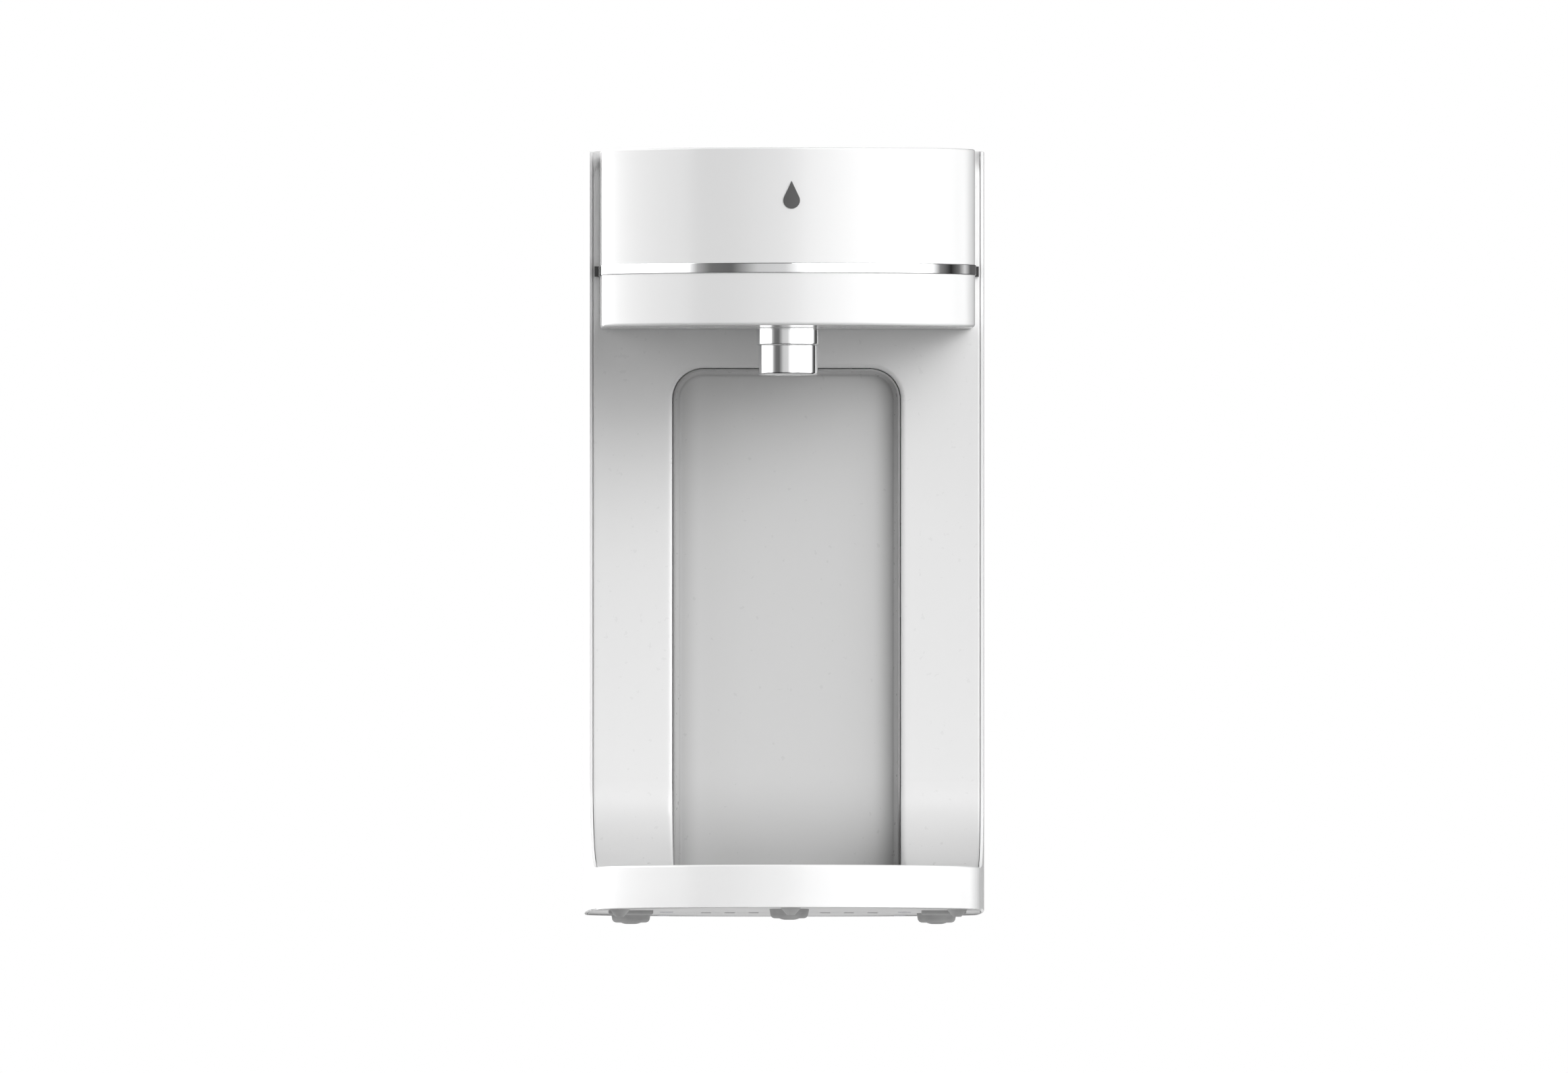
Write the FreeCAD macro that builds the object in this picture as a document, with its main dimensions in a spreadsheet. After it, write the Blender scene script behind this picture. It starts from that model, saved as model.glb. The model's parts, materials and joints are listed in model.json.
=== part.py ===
"""Countertop water dispenser: D-shaped head over a drip tray, rear column, lift-out water tank.

Millimetres. +Z is up, the front faces -Y, and the origin is the middle of the footprint on the table.
Every size comes from the Dimensions sheet, and each piece is one node of parts/.
"""

import FreeCAD
import Part
import math
import os

import Sketcher

# ---------------------------------------------------------------- driving dimensions
DIMENSIONS = [
    # alias, value, meaning
    ("rear_y", 184.0, "rear-most point of the shell"),
    ("head_centre_y", -87.3, "centre of the half-round front of head, ring and tray"),
    ("base_radius", 96.7, "half-round front of the drip tray"),
    ("ring_radius", 94.5, "half-round front of the chrome ring"),
    ("ring_end", 96.8, "half width of the ring's turned-out ends"),
    ("head_radius", 94.0, "half-round front of the head covers"),
    ("shell_half_width", 100.5, "widest half width of the outer shell"),
    ("widest_y", 47.0, "where the outer shell is widest"),
    ("side_radius", 2325.0, "plan curve of the shell's long sides"),
    ("corner_radius", 50.0, "plan curve of the shell's rear corners"),
    ("tail_radius", 130.0, "plan curve of the shell's rear face"),
    ("shell_wall", 1.5, "wall of the outer shell"),
    ("skin", 2.5, "wall of the other mouldings"),
    ("gap", 0.3, "joint gap between mouldings"),
    ("base_bottom", 5.4, "underside of the base"),
    ("base_top", 26.8, "top of the base and of the tray front"),
    ("head_bottom", 298.8, "underside of the head"),
    ("ring_bottom", 325.1, "lower edge of the chrome ring"),
    ("ring_top", 330.3, "upper edge of the chrome ring"),
    ("top_z", 388.5, "flat top of head, column and shell"),
    ("face_y", -30.0, "front face of the column"),
    ("face_sweep", 44.0, "curve of the column face into the base"),
    ("roll_radius", 14.0, "curve of the column face into its top"),
    ("window_half", 57.5, "half width of the opening for the recess panel"),
    ("window_top", 279.0, "top of that opening"),
    ("window_corner", 15.6, "its corner radius"),
    ("lip_radius", 2.2, "rounding of its front edge"),
    ("recess_depth", 10.0, "depth of the recess behind the column face"),
    ("recess_half", 53.9, "half width of the recess floor"),
    ("recess_top", 275.7, "top of the recess floor"),
    ("recess_corner", 12.0, "corner radius of the recess floor"),
    ("spout_y", -82.0, "centre line of the spout"),
    ("collar_radius", 16.2, "outside of the spout collar"),
    ("collar_bottom", 290.0, "lower edge of the spout collar"),
    ("nozzle_radius", 15.2, "outside of the spout nozzle"),
    ("nozzle_bottom", 274.7, "lower edge of the spout nozzle"),
    ("nozzle_bore", 11.0, "bore of the nozzle around the aerator"),
    ("shell_foot_edge", 1.0, "rounding of the shell's bottom edge"),
    ("foot_radius", 10.0, "rubber foot"),
    ("front_foot_y", -108.5, "front foot, from the middle of the footprint"),
    ("side_foot_x", 77.0, "rear feet"),
    ("side_foot_y", 55.5, "rear feet"),
    ("bay_wall_y", 31.5, "front of the wall between column and tank"),
    ("bay_floor", 38.0, "underside of the tank bay's floor"),
    ("tank_inset", 5.2, "tank outside, in from the shell outside"),
    ("tank_front_y", 36.0, "front wall of the tank"),
    ("tank_bottom", 43.0, "underside of the tank"),
    ("tank_mouth", 372.0, "rim of the tank"),
    ("tank_wall", 2.2, "wall of the tank"),
    ("dock_y", 70.0, "tank outlet, dock and filter axis"),
    ("lid_axis_y", 39.0, "tank lid hinge"),
    ("lid_barrel", 3.1, "barrel along the lid's front edge, round the hinge pin"),
    ("lid_plate", 3.0, "thickness of the tank lid's plate"),
    ("lid_clearance", 3.5, "gap between the tank lid and the shell"),
    ("pin_radius", 1.5, "tank lid hinge pin"),
    ("running", 0.05, "radial clearance of a turning fit"),
    ("deck_inset", 9.0, "control deck, in from the head outside"),
    ("small_button", 8.0, "radius of a setting button"),
    ("large_button", 17.0, "radius of the dispense button"),
    ("hose_radius", 4.0, "outside of the silicone hoses"),
    ("hose_bore", 2.5, "bore of the silicone hoses"),
]

document = FreeCAD.newDocument("WaterDispenser")


class Size:
    """A length that knows its value and the formula that binds it to the sheet."""

    def __init__(self, value, formula):
        self.value = value
        self.formula = formula

    def join(self, sign, other, value, swapped=False):
        left, right = (formula(other), self.formula) if swapped else (self.formula, formula(other))
        return Size(value, f"({left} {sign} {right})")

    def __add__(self, other):
        return self.join("+", other, self.value + number(other))

    def __radd__(self, other):
        return self + other

    def __sub__(self, other):
        return self.join("-", other, self.value - number(other))

    def __rsub__(self, other):
        return self.join("-", other, number(other) - self.value, swapped=True)

    def __mul__(self, other):
        return self.join("*", other, self.value * number(other))

    def __rmul__(self, other):
        return self * other

    def __truediv__(self, other):
        return self.join("/", other, self.value / number(other))

    def __neg__(self):
        return Size(-self.value, f"(0 - {self.formula})")


def number(size):
    """The value of a Size or of a plain number."""
    return size.value if isinstance(size, Size) else float(size)


def formula(size):
    """The text that binds a property to a Size or to a plain number."""
    return size.formula if isinstance(size, Size) else repr(float(size))


def bind(thing, **sizes):
    """Binds properties of a document object; x, y and z are its place."""
    places = {"x": "Placement.Base.x", "y": "Placement.Base.y", "z": "Placement.Base.z"}
    for name, size in sizes.items():
        thing.setExpression(places.get(name, name), formula(size))
    return thing


def make_sheet():
    """The Dimensions sheet, and its aliases as Sizes."""
    sheet = document.addObject("Spreadsheet::Sheet", "Dimensions")
    sizes = {}
    for row, (alias, value, meaning) in enumerate(DIMENSIONS, start=1):
        sheet.set(f"A{row}", alias)
        sheet.set(f"B{row}", str(value))
        sheet.set(f"C{row}", meaning)
        sheet.setAlias(f"B{row}", alias)
        sizes[alias] = Size(value, f"Dimensions.{alias}")
    document.recompute()
    return sizes


SIZE = make_sheet()
NODES = {}


class Plan:
    """Short names for the sizes of the sheet, such as D.gap."""

    def __getattr__(self, alias):
        return SIZE[alias]


D = Plan()


def node(name, thing):
    """Registers a finished piece under the name of its file."""
    thing.Label = name
    NODES[name] = thing
    return thing


# ---------------------------------------------------------------- sketches
def plane(body, role):
    return next(f for f in body.Origin.OriginFeatures if f.Role == role)


def new_sketch(body, name, role, offset=0):
    """A sketch on an origin plane of its own body, moved along the plane's normal."""
    sketch = body.newObject("Sketcher::SketchObject", name)
    sketch.AttachmentSupport = (plane(body, role), [""])
    sketch.MapMode = "FlatFace"
    sketch.setExpression("AttachmentOffset.Base.z", formula(offset))
    return sketch


def constrain(sketch, kind, *where, size=None):
    """Adds a constraint, bound to a size where it has one."""
    if size is None:
        sketch.addConstraint(Sketcher.Constraint(kind, *where))
        return
    index = sketch.addConstraint(Sketcher.Constraint(kind, *where, number(size)))
    sketch.setExpression(f"Constraints[{index}]", formula(size))


def pin(sketch, geometry, point, x=None, y=None):
    """Fixes a point of a sketch to coordinates; a plain 0 puts it on the axis."""
    for size, kind, axis in ((x, "DistanceX", -2), (y, "DistanceY", -1)):
        if size is None:
            continue
        if not isinstance(size, Size) and size == 0:
            constrain(sketch, "PointOnObject", geometry, point, axis)
        else:
            constrain(sketch, kind, -1, 1, geometry, point, size=size)


def arc_between(start, end, radius):
    """The short arc from start to end; a positive radius turns left, a negative one right."""
    middle = (start + end) * 0.5
    chord = end - start
    rise = math.sqrt(max(radius * radius - chord.Length**2 / 4, 0))
    side = FreeCAD.Vector(-chord.y, chord.x, 0).normalize() * math.copysign(rise, radius)
    centre = middle + side
    first, last = (start, end) if radius > 0 else (end, start)
    angles = [math.atan2(p.y - centre.y, p.x - centre.x) for p in (first, last)]
    circle = Part.Circle(centre, FreeCAD.Vector(0, 0, 1), abs(radius))
    return Part.ArcOfCircle(circle, angles[0], angles[1])


def outline(sketch, corners):
    """A closed outline. A corner is (x, y), or (x, y, radius) where an arc leads to the next one."""
    points = [FreeCAD.Vector(number(c[0]), number(c[1]), 0) for c in corners]
    runs = []
    for i, corner in enumerate(corners):
        start, end = points[i], points[(i + 1) % len(points)]
        radius = corner[2] if len(corner) > 2 else None
        if radius is None:
            runs.append((sketch.addGeometry(Part.LineSegment(start, end)), 1, 2))
        else:
            ends = (1, 2) if number(radius) > 0 else (2, 1)
            runs.append((sketch.addGeometry(arc_between(start, end, number(radius))), *ends))
            bound = radius if number(radius) > 0 else -radius
            constrain(sketch, "Radius", runs[-1][0], size=bound)
    for i, corner in enumerate(corners):
        before = runs[i - 1]
        here = runs[i]
        constrain(sketch, "Coincident", before[0], before[2], here[0], here[1])
        pin(sketch, here[0], here[1], corner[0], corner[1])


def circle(sketch, x, y, radius):
    """A circle in a sketch."""
    centre = FreeCAD.Vector(number(x), number(y), 0)
    index = sketch.addGeometry(Part.Circle(centre, FreeCAD.Vector(0, 0, 1), number(radius)))
    constrain(sketch, "Radius", index, size=radius)
    pin(sketch, index, 3, x, y)


def rectangle(low_x, low_y, high_x, high_y):
    return [(low_x, low_y), (high_x, low_y), (high_x, high_y), (low_x, high_y)]


def arch(half, low, high, corner):
    """An upright panel: square at the foot, two round corners at the head."""
    return [
        (-half, low),
        (half, low),
        (half, high - corner, corner),
        (half - corner, high),
        (corner - half, high, corner),
        (-half, high - corner),
    ]


def half_round(radius, back_y):
    """A D in plan: half circle to the front, straight sides back to back_y."""
    y = D.head_centre_y
    return [(-radius, y, radius), (0, y - radius, radius), (radius, y), (radius, back_y), (-radius, back_y)]


def half_disc(radius):
    """The half circle ahead of the straight sides."""
    y = D.head_centre_y
    return [(-radius, y, radius), (0, y - radius, radius), (radius, y)]


def half_round_with_tail(radius, half, back_y):
    """A half circle to the front with a narrower rectangle behind it."""
    y = D.head_centre_y
    return [
        (-radius, y, radius),
        (0, y - radius, radius),
        (radius, y),
        (half, y),
        (half, back_y),
        (-half, back_y),
        (-half, y),
    ]


def root(size):
    """Square root of a squared length."""
    return Size(math.sqrt(number(size)), f"sqrt({formula(size)})")


def corner_centre():
    """Centre of the shell's rear corner, found from the two curves that it touches inside."""
    side_x = number(D.shell_half_width - D.side_radius)
    step_y = number(D.widest_y - (D.rear_y - D.tail_radius))
    to_side = number(D.side_radius - D.corner_radius)
    to_tail = number(D.tail_radius - D.corner_radius)
    apart = math.hypot(side_x, step_y)
    along = (to_tail**2 - to_side**2 + apart**2) / (2 * apart)
    across = math.sqrt(to_tail**2 - along**2)
    x = (along * side_x + across * step_y) / apart
    y = number(D.rear_y - D.tail_radius) + (along * step_y - across * side_x) / apart
    return FreeCAD.Vector(x, y, 0)


def tail_outline(sketch, inset, front_y=None):
    """The shell's plan, moved inwards by inset: bowed sides, round corners and a bowed rear.

    It is closed by a straight line at front_y, or at the seam with the drip tray.
    """
    zero = FreeCAD.Vector(0, 0, 0)
    tail_centre = FreeCAD.Vector(0, number(D.rear_y - D.tail_radius), 0)
    side_centre = FreeCAD.Vector(number(D.shell_half_width - D.side_radius), number(D.widest_y), 0)
    corner = corner_centre()
    tail = (corner - tail_centre).normalize() * number(D.tail_radius - inset) + tail_centre
    side = (corner - side_centre).normalize() * number(D.side_radius - inset) + side_centre
    rear = FreeCAD.Vector(0, number(D.rear_y - inset), 0)
    start_y = D.head_centre_y + D.gap if front_y is None else front_y
    reach = root((D.side_radius - inset) * (D.side_radius - inset)
                 - (start_y - D.widest_y) * (start_y - D.widest_y))
    start_x = D.shell_half_width - D.side_radius + reach
    half = [
        (FreeCAD.Vector(number(start_x), number(start_y), 0), side, D.side_radius - inset),
        (side, tail, D.corner_radius - inset),
        (tail, rear, D.tail_radius - inset),
    ]
    ends = []
    for mirrored in (False, True):
        arcs = []
        for start, end, radius in half:
            if mirrored:
                start, end = [FreeCAD.Vector(zero.x - p.x, p.y, 0) for p in (end, start)]
            arcs.append(sketch.addGeometry(arc_between(start, end, number(radius))))
            constrain(sketch, "Radius", arcs[-1], size=radius)
        near, far = (2, 1) if mirrored else (1, 2)
        sign = -1 if mirrored else 1
        side_arc, corner_arc, tail_arc = arcs
        constrain(sketch, "Tangent", side_arc, far, corner_arc, near)
        constrain(sketch, "Tangent", corner_arc, far, tail_arc, near)
        constrain(sketch, "PointOnObject", tail_arc, 3, -2)
        pin(sketch, side_arc, 3, None, D.widest_y)
        pin(sketch, side_arc, near, sign * start_x, start_y)
        ends.append((side_arc, near, tail_arc, far))
    (right, right_end, right_tail, right_rear), (left, left_end, left_tail, left_rear) = ends
    pin(sketch, right_tail, right_rear, 0, D.rear_y - inset)
    constrain(sketch, "Coincident", right_tail, right_rear, left_tail, left_rear)
    points = [sketch.getPoint(left, left_end), sketch.getPoint(right, right_end)]
    front = sketch.addGeometry(Part.LineSegment(*points))
    constrain(sketch, "Coincident", front, 1, left, left_end)
    constrain(sketch, "Coincident", front, 2, right, right_end)


# ---------------------------------------------------------------- features
def new_body(name):
    return document.addObject("PartDesign::Body", name)


def raised(body, name, corners, low, high):
    """Pads an outline in plan from one height to another."""
    sketch = new_sketch(body, f"{name}_plan", "XY_Plane", low)
    draw(sketch, corners)
    pad = body.newObject("PartDesign::Pad", name)
    pad.Profile = sketch
    pad.setExpression("Length", formula(high - low))
    return pad


def sunk(body, name, corners, low, high):
    """Cuts an outline in plan out of a body, from one height up to another."""
    sketch = new_sketch(body, f"{name}_plan", "XY_Plane", low)
    draw(sketch, corners)
    before = solid_volume(body)
    pocket = body.newObject("PartDesign::Pocket", name)
    pocket.Profile = sketch
    pocket.Reversed = True
    pocket.setExpression("Length", formula(high - low))
    must_shrink(body, before, name)
    return pocket


def across(body, name, role, corners, width, cut=False):
    """Pads or cuts an upright section through the middle of the body, width wide."""
    sketch = new_sketch(body, f"{name}_section", role)
    draw(sketch, corners)
    before = solid_volume(body) if cut else 0
    feature = body.newObject("PartDesign::Pocket" if cut else "PartDesign::Pad", name)
    feature.Profile = sketch
    feature.Midplane = True
    feature.setExpression("Length", formula(width))
    if cut:
        must_shrink(body, before, name)
    return feature


def draw(sketch, corners):
    """Draws an outline given as corners, or by a function of the sketch."""
    if callable(corners):
        corners(sketch)
    else:
        outline(sketch, corners)


def solid_volume(body):
    document.recompute()
    return body.Shape.Volume


def must_shrink(body, before, name):
    """A cut that points away from the solid removes nothing and shows no error."""
    if not solid_volume(body) < before - 1e-3:
        raise RuntimeError(f"{name} removed nothing")


def edges_where(shape, test):
    """Names of the edges that pass a test."""
    return [f"Edge{i}" for i, edge in enumerate(shape.Edges, start=1) if test(edge)]


def rounded(body, name, radius, test, kind="PartDesign::Fillet"):
    """Rounds, or chamfers, the edges of a body that pass a test."""
    document.recompute()
    base = body.Tip
    names = edges_where(base.Shape, test)
    if not names:
        raise RuntimeError(f"{name} found no edges")
    feature = body.newObject(kind, name)
    feature.Base = (base, names)
    feature.setExpression("Radius" if kind.endswith("Fillet") else "Size", formula(radius))
    return feature


def at_height(height):
    """Test for edges that lie flat at a height."""
    z = number(height)
    return lambda edge: all(abs(v - z) < 1e-3 for v in (edge.BoundBox.ZMin, edge.BoundBox.ZMax))


def box(name, low, high):
    """A block between two corners."""
    block = document.addObject("Part::Box", name)
    sizes = [b - a if isinstance(b, Size) or isinstance(a, Size) else float(b - a) for a, b in zip(low, high)]
    return bind(block, Length=sizes[0], Width=sizes[1], Height=sizes[2], x=low[0], y=low[1], z=low[2])


TURNS = {
    "z": FreeCAD.Rotation(),
    "x": FreeCAD.Rotation(FreeCAD.Vector(0, 1, 0), 90),
    "y": FreeCAD.Rotation(FreeCAD.Vector(1, 0, 0), -90),
}


def rod(name, foot, radius, length, axis="z"):
    """A round rod from its foot along +X, +Y or +Z."""
    cylinder = document.addObject("Part::Cylinder", name)
    cylinder.Placement = FreeCAD.Placement(FreeCAD.Vector(*map(number, foot)), TURNS[axis])
    return bind(cylinder, Radius=radius, Height=length, x=foot[0], y=foot[1], z=foot[2])


def taper(name, foot, low_radius, high_radius, length, axis="z"):
    """A cone frustum from its foot along an axis."""
    cone = document.addObject("Part::Cone", name)
    cone.Placement = FreeCAD.Placement(FreeCAD.Vector(*map(number, foot)), TURNS[axis])
    return bind(cone, Radius1=low_radius, Radius2=high_radius, Height=length,
                x=foot[0], y=foot[1], z=foot[2])


def hoop(name, centre, middle_radius, wire_radius, axis="z"):
    """A torus."""
    torus = document.addObject("Part::Torus", name)
    torus.Placement = FreeCAD.Placement(FreeCAD.Vector(*map(number, centre)), TURNS[axis])
    return bind(torus, Radius1=middle_radius, Radius2=wire_radius,
                x=centre[0], y=centre[1], z=centre[2])


def fused(name, *things):
    union = document.addObject("Part::MultiFuse", name)
    union.Shapes = list(things)
    union.Refine = True
    return union


def cut(name, base, *tools):
    result = document.addObject("Part::Cut", name)
    result.Base = base
    result.Tool = tools[0] if len(tools) == 1 else fused(f"{name}_tools", *tools)
    result.Refine = True
    return result


def common(name, base, tool):
    result = document.addObject("Part::Common", name)
    result.Base = base
    result.Tool = tool
    return result


def group(name, things):
    """Separate solids kept in one node."""
    compound = document.addObject("Part::Compound", name)
    compound.Links = list(things)
    return compound


def tube(name, foot, outer, inner, length, axis="z"):
    """A round tube from its foot along an axis."""
    return cut(name, rod(f"{name}_outside", foot, outer, length, axis),
               rod(f"{name}_bore", foot, inner, length, axis))


def turned(name, corners, place=(0, 0, 0)):
    """A body of revolution about its own upright axis, from corners (radius, height)."""
    body = new_body(name)
    sketch = new_sketch(body, f"{name}_profile", "XZ_Plane")
    outline(sketch, corners)
    revolution = body.newObject("PartDesign::Revolution", f"{name}_turned")
    revolution.Profile = sketch
    revolution.ReferenceAxis = (sketch, ["V_Axis"])
    revolution.Angle = 360
    return bind(body, x=place[0], y=place[1], z=place[2])


# ---------------------------------------------------------------- secondary sizes
# floor of the base and of the tank bay
PLATE = 3.0

# opening for the mains sockets, low on the back, and the plate behind it
SOCKET_HALF = 44.0
SOCKET_LOW = 11.5
SOCKET_HIGH = 36.5
SOCKET_PLATE_Y = 168.5

# middle and half sizes of the mains inlet and of the rocker switch: x, z, half width, half height
INLET = (-20.0, 24.0, 13.6, 9.6)
SWITCH = (24.0, 24.0, 10.0, 7.0)

# where the base's rim ends beside the drip tray
RIM_FRONT = -20.0

# the tray's tail in the foot of the recess, and the grille's slots
TRAY_TAIL = D.window_half - 1.0
TRAY_BACK = D.face_y + D.recess_depth - 0.5
SLOTS = 16
SLOT_PITCH = 8.5
SLOT_WIDTH = 4.0

# the ribs, counted from the rear, that the grille's legs stand under
LEG_RIBS = (0, 9)

# display window (half width, half depth), deck posts and buttons (x, y, radius) in the head's top
WINDOW_SIZE = (34.0, 12.0)
WINDOW_Y = -96.0
DECK_POSTS = ((-55, -96), (55, -96), (-28, -146), (28, -146))
BUTTONS = {
    "dispense_button": (0, -136.0, D.large_button),
    "temperature_button": (-36.0, -62.0, D.small_button),
    "volume_button": (0, -62.0, D.small_button),
    "lock_button": (36.0, -62.0, D.small_button),
}

# outlet below the tank
DOCK_RADIUS = 14.5
VALVE_RADIUS = 10.6

# lugs on the tank that hold the lid's pin: inner and outer face
LUG_INNER = 30.2
LUG_OUTER = 34.2
LUG_PLAY = 0.3
LID_AXIS_Z = D.top_z - D.gap - D.lid_barrel - 0.1

# middles of the pump, the flow meter and the heater's lower end
PUMP_Y = 5.0
PUMP_Z = 62.0
FLOW_X = 62.0
FLOW_Z = 142.0
HEATER_X = -50.0
HEATER_Z = 160.0


# ---------------------------------------------------------------- outer casing
def make_shell():
    """U-shaped shell: sides and rear in one wall, its front edges flush with the column's face."""
    body = new_body("outer_shell")
    raised(body, "shell_block", lambda s: tail_outline(s, 0), D.base_bottom, D.top_z)
    sunk(body, "shell_hollow", lambda s: tail_outline(s, D.shell_wall),
         D.base_bottom - 1, D.top_z + 1)
    ahead = D.head_centre_y - 5
    edge = [
        (ahead, D.base_top),
        (D.face_y - D.face_sweep, D.base_top, D.face_sweep),
        (D.face_y, D.base_top + D.face_sweep),
        (D.face_y, D.top_z + 1),
        (ahead, D.top_z + 1),
    ]
    across(body, "shell_front_cut", "YZ_Plane", edge, 3 * D.shell_half_width, cut=True)
    opening = new_sketch(body, "socket_opening", "XZ_Plane")
    outline(opening, rectangle(-SOCKET_HALF, SOCKET_LOW, SOCKET_HALF, SOCKET_HIGH))
    before = solid_volume(body)
    pocket = body.newObject("PartDesign::Pocket", "socket_window")
    pocket.Profile = opening
    pocket.setExpression("Length", formula(D.rear_y + 5))
    must_shrink(body, before, "socket_window")
    rounded(body, "shell_top_edge", 0.5, at_height(D.top_z))
    rounded(body, "shell_foot_edge", D.shell_foot_edge, outside_at(D.base_bottom))
    node("outer_shell", body)


def outside_at(height):
    """Test for the shell's outer edges at a height, told from its inner ones by their radii."""
    flat = at_height(height)

    def test(edge):
        if not flat(edge) or edge.Curve.TypeId != "Part::GeomCircle":
            return False
        radius = edge.Curve.Radius
        outer = (D.side_radius, D.corner_radius, D.tail_radius)
        return any(abs(radius - number(size)) < 0.01 for size in outer)

    return test


def make_inside_block():
    """The space inside the shell, less the joint gap: trims what fits in there."""
    body = new_body("inside_of_shell")
    raised(body, "inside_block", lambda s: tail_outline(s, D.shell_wall + D.gap),
           D.base_bottom, D.top_z)
    return body


def make_front_panel(inside):
    """Column face: rolls back at the top, sweeps forward into the base, window for the recess panel."""
    y, top, foot = D.face_y, D.top_z, D.base_top
    roll, sweep, skin = D.roll_radius, D.face_sweep, D.skin
    section = [
        (D.head_centre_y, foot),
        (y - sweep, foot, sweep),
        (y, foot + sweep),
        (y, top - roll, -roll),
        (y + roll, top),
        (D.lid_axis_y - D.lid_barrel - 2 * D.gap, top),
        (D.lid_axis_y - D.lid_barrel - 2 * D.gap, top - skin),
        (y + roll, top - skin, roll - skin),
        (y + skin, top - roll),
        (y + skin, foot + sweep, -(sweep + skin)),
        (y - sweep, foot - skin),
        (D.head_centre_y, foot - skin),
    ]
    body = new_body("front_panel_body")
    across(body, "front_panel_sheet", "YZ_Plane", section, 2.2 * D.shell_half_width)
    cheek = [(y - sweep, foot, sweep), (y, foot + sweep), (y + skin, foot + sweep), (y + skin, foot)]
    across(body, "window_cheeks", "YZ_Plane", cheek, 2 * (D.window_half + 2))
    window = arch(D.window_half, D.base_bottom, D.window_top, D.window_corner)
    upright_cut(body, "recess_window", window, -D.head_centre_y + 20, D.bay_wall_y)
    rounded(body, "window_lip", D.lip_radius, window_front_edge)
    trimmed = common("front_panel_trimmed", body, inside)
    duct = box("head_duct", (-60, D.face_y - 2, D.ring_top - 8), (60, D.face_y + 5, D.ring_top + 22))
    node("front_panel", cut("front_panel", trimmed, duct))


def upright_cut(body, name, corners, ahead, behind):
    """Cuts an outline seen from the front, from ahead of the origin plane to behind it."""
    sketch = new_sketch(body, f"{name}_outline", "XZ_Plane")
    outline(sketch, corners)
    before = solid_volume(body)
    pocket = body.newObject("PartDesign::Pocket", name)
    pocket.Profile = sketch
    pocket.SideType = "Two sides"
    pocket.setExpression("Length", formula(behind))
    pocket.setExpression("Length2", formula(ahead))
    must_shrink(body, before, name)


def window_front_edge(edge):
    """The window's edge on the column face, and down its sweep."""
    box_ = edge.BoundBox
    half, face = number(D.window_half), number(D.face_y)
    inside_window = max(abs(box_.XMin), abs(box_.XMax)) < half + 0.01
    in_face = abs(box_.YMin - face) < 0.01 and abs(box_.YMax - face) < 0.01
    on_sweep = (edge.Curve.TypeId == "Part::GeomCircle"
                and abs(edge.Curve.Radius - number(D.face_sweep)) < 0.01
                and box_.XLength < 0.01)
    return inside_window and (in_face or on_sweep)


def make_recess_panel():
    """Drafted pan that closes the window: the back of the cup space."""
    y, gap = D.face_y + 1.5, D.gap
    back = D.face_y + D.recess_depth
    foot = D.base_top + D.gap
    half, top, corner = D.window_half - gap, D.window_top - gap, D.window_corner - gap
    body = new_body("recess_panel")
    mouth = upright_sketch(body, "pan_mouth", arch(half, foot, top, corner), y)
    rear = upright_sketch(body, "pan_rear", arch(half - 1, foot, top - 1, corner - 1), back + 2)
    loft(body, "pan_block", mouth, rear, cutting=False)
    low = foot - 5
    inner_mouth = upright_sketch(
        body, "pan_inner_mouth", arch(half - 1, low, top - 1, corner - 1), y - 0.1)
    inner_floor = upright_sketch(
        body, "pan_inner_floor", arch(D.recess_half, low, D.recess_top, D.recess_corner), back)
    loft(body, "pan_hollow", inner_mouth, inner_floor, cutting=True)
    node("recess_panel", body)


def upright_sketch(body, name, corners, y):
    """A sketch seen from the front, at a distance y along the depth."""
    sketch = new_sketch(body, name, "XZ_Plane", -y)
    outline(sketch, corners)
    return sketch


def loft(body, name, first, second, cutting):
    """Joins two sketches, adding or cutting the space between them."""
    before = solid_volume(body) if cutting else 0
    kind = "PartDesign::SubtractiveLoft" if cutting else "PartDesign::AdditiveLoft"
    feature = body.newObject(kind, name)
    feature.Profile = first
    feature.Sections = [second]
    feature.Ruled = True
    if cutting:
        must_shrink(body, before, name)


# ---------------------------------------------------------------- base
def make_base_plate(inside):
    """Bottom of the machine: floor, rim inside the shell and two rails for the drip tray."""
    floor_top = D.base_bottom + PLATE
    nose_radius = D.base_radius - D.skin - D.gap
    nose = new_body("base_nose")
    raised(nose, "nose_floor", half_round(nose_radius, D.head_centre_y + 2), D.base_bottom, floor_top)
    floor = new_body("base_floor_body")
    raised(floor, "base_floor", lambda s: tail_outline(s, D.shell_wall + D.gap), D.base_bottom, floor_top)
    bay_rim = new_body("base_rim_body")
    raised(bay_rim, "base_rim", lambda s: tail_outline(s, D.shell_wall + D.gap, RIM_FRONT),
           floor_top - 1, floor_top + 12)
    sunk(bay_rim, "base_rim_inside", lambda s: tail_outline(s, D.shell_wall + D.gap + D.skin, RIM_FRONT + 3),
         floor_top - 2, floor_top + 13)
    window = box("base_rim_window", (-SOCKET_HALF - 4, D.rear_y - 25, floor_top),
                 (SOCKET_HALF + 4, D.rear_y, floor_top + 14))
    rim = cut("base_rim_opened", bay_rim, window)
    rails = [box(f"tray_rail_{side}", (low, -78, floor_top - 1), (low + 3, -22, floor_top + 9))
             for side, low in (("left", -61.0), ("right", 58.0))]
    vents = [box(f"base_vent_{i}", (-42 + 12 * i, 20, D.base_bottom - 1), (-37 + 12 * i, 50, floor_top + 1))
             for i in range(8)]
    body = fused("base_plate_blank", nose, floor, rim, *rails)
    node("base_plate", cut("base_plate", body, *vents))


def foot_places():
    """The three rubber feet, in plan."""
    return [(0, D.front_foot_y), (-D.side_foot_x, D.side_foot_y), (D.side_foot_x, D.side_foot_y)]


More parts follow.
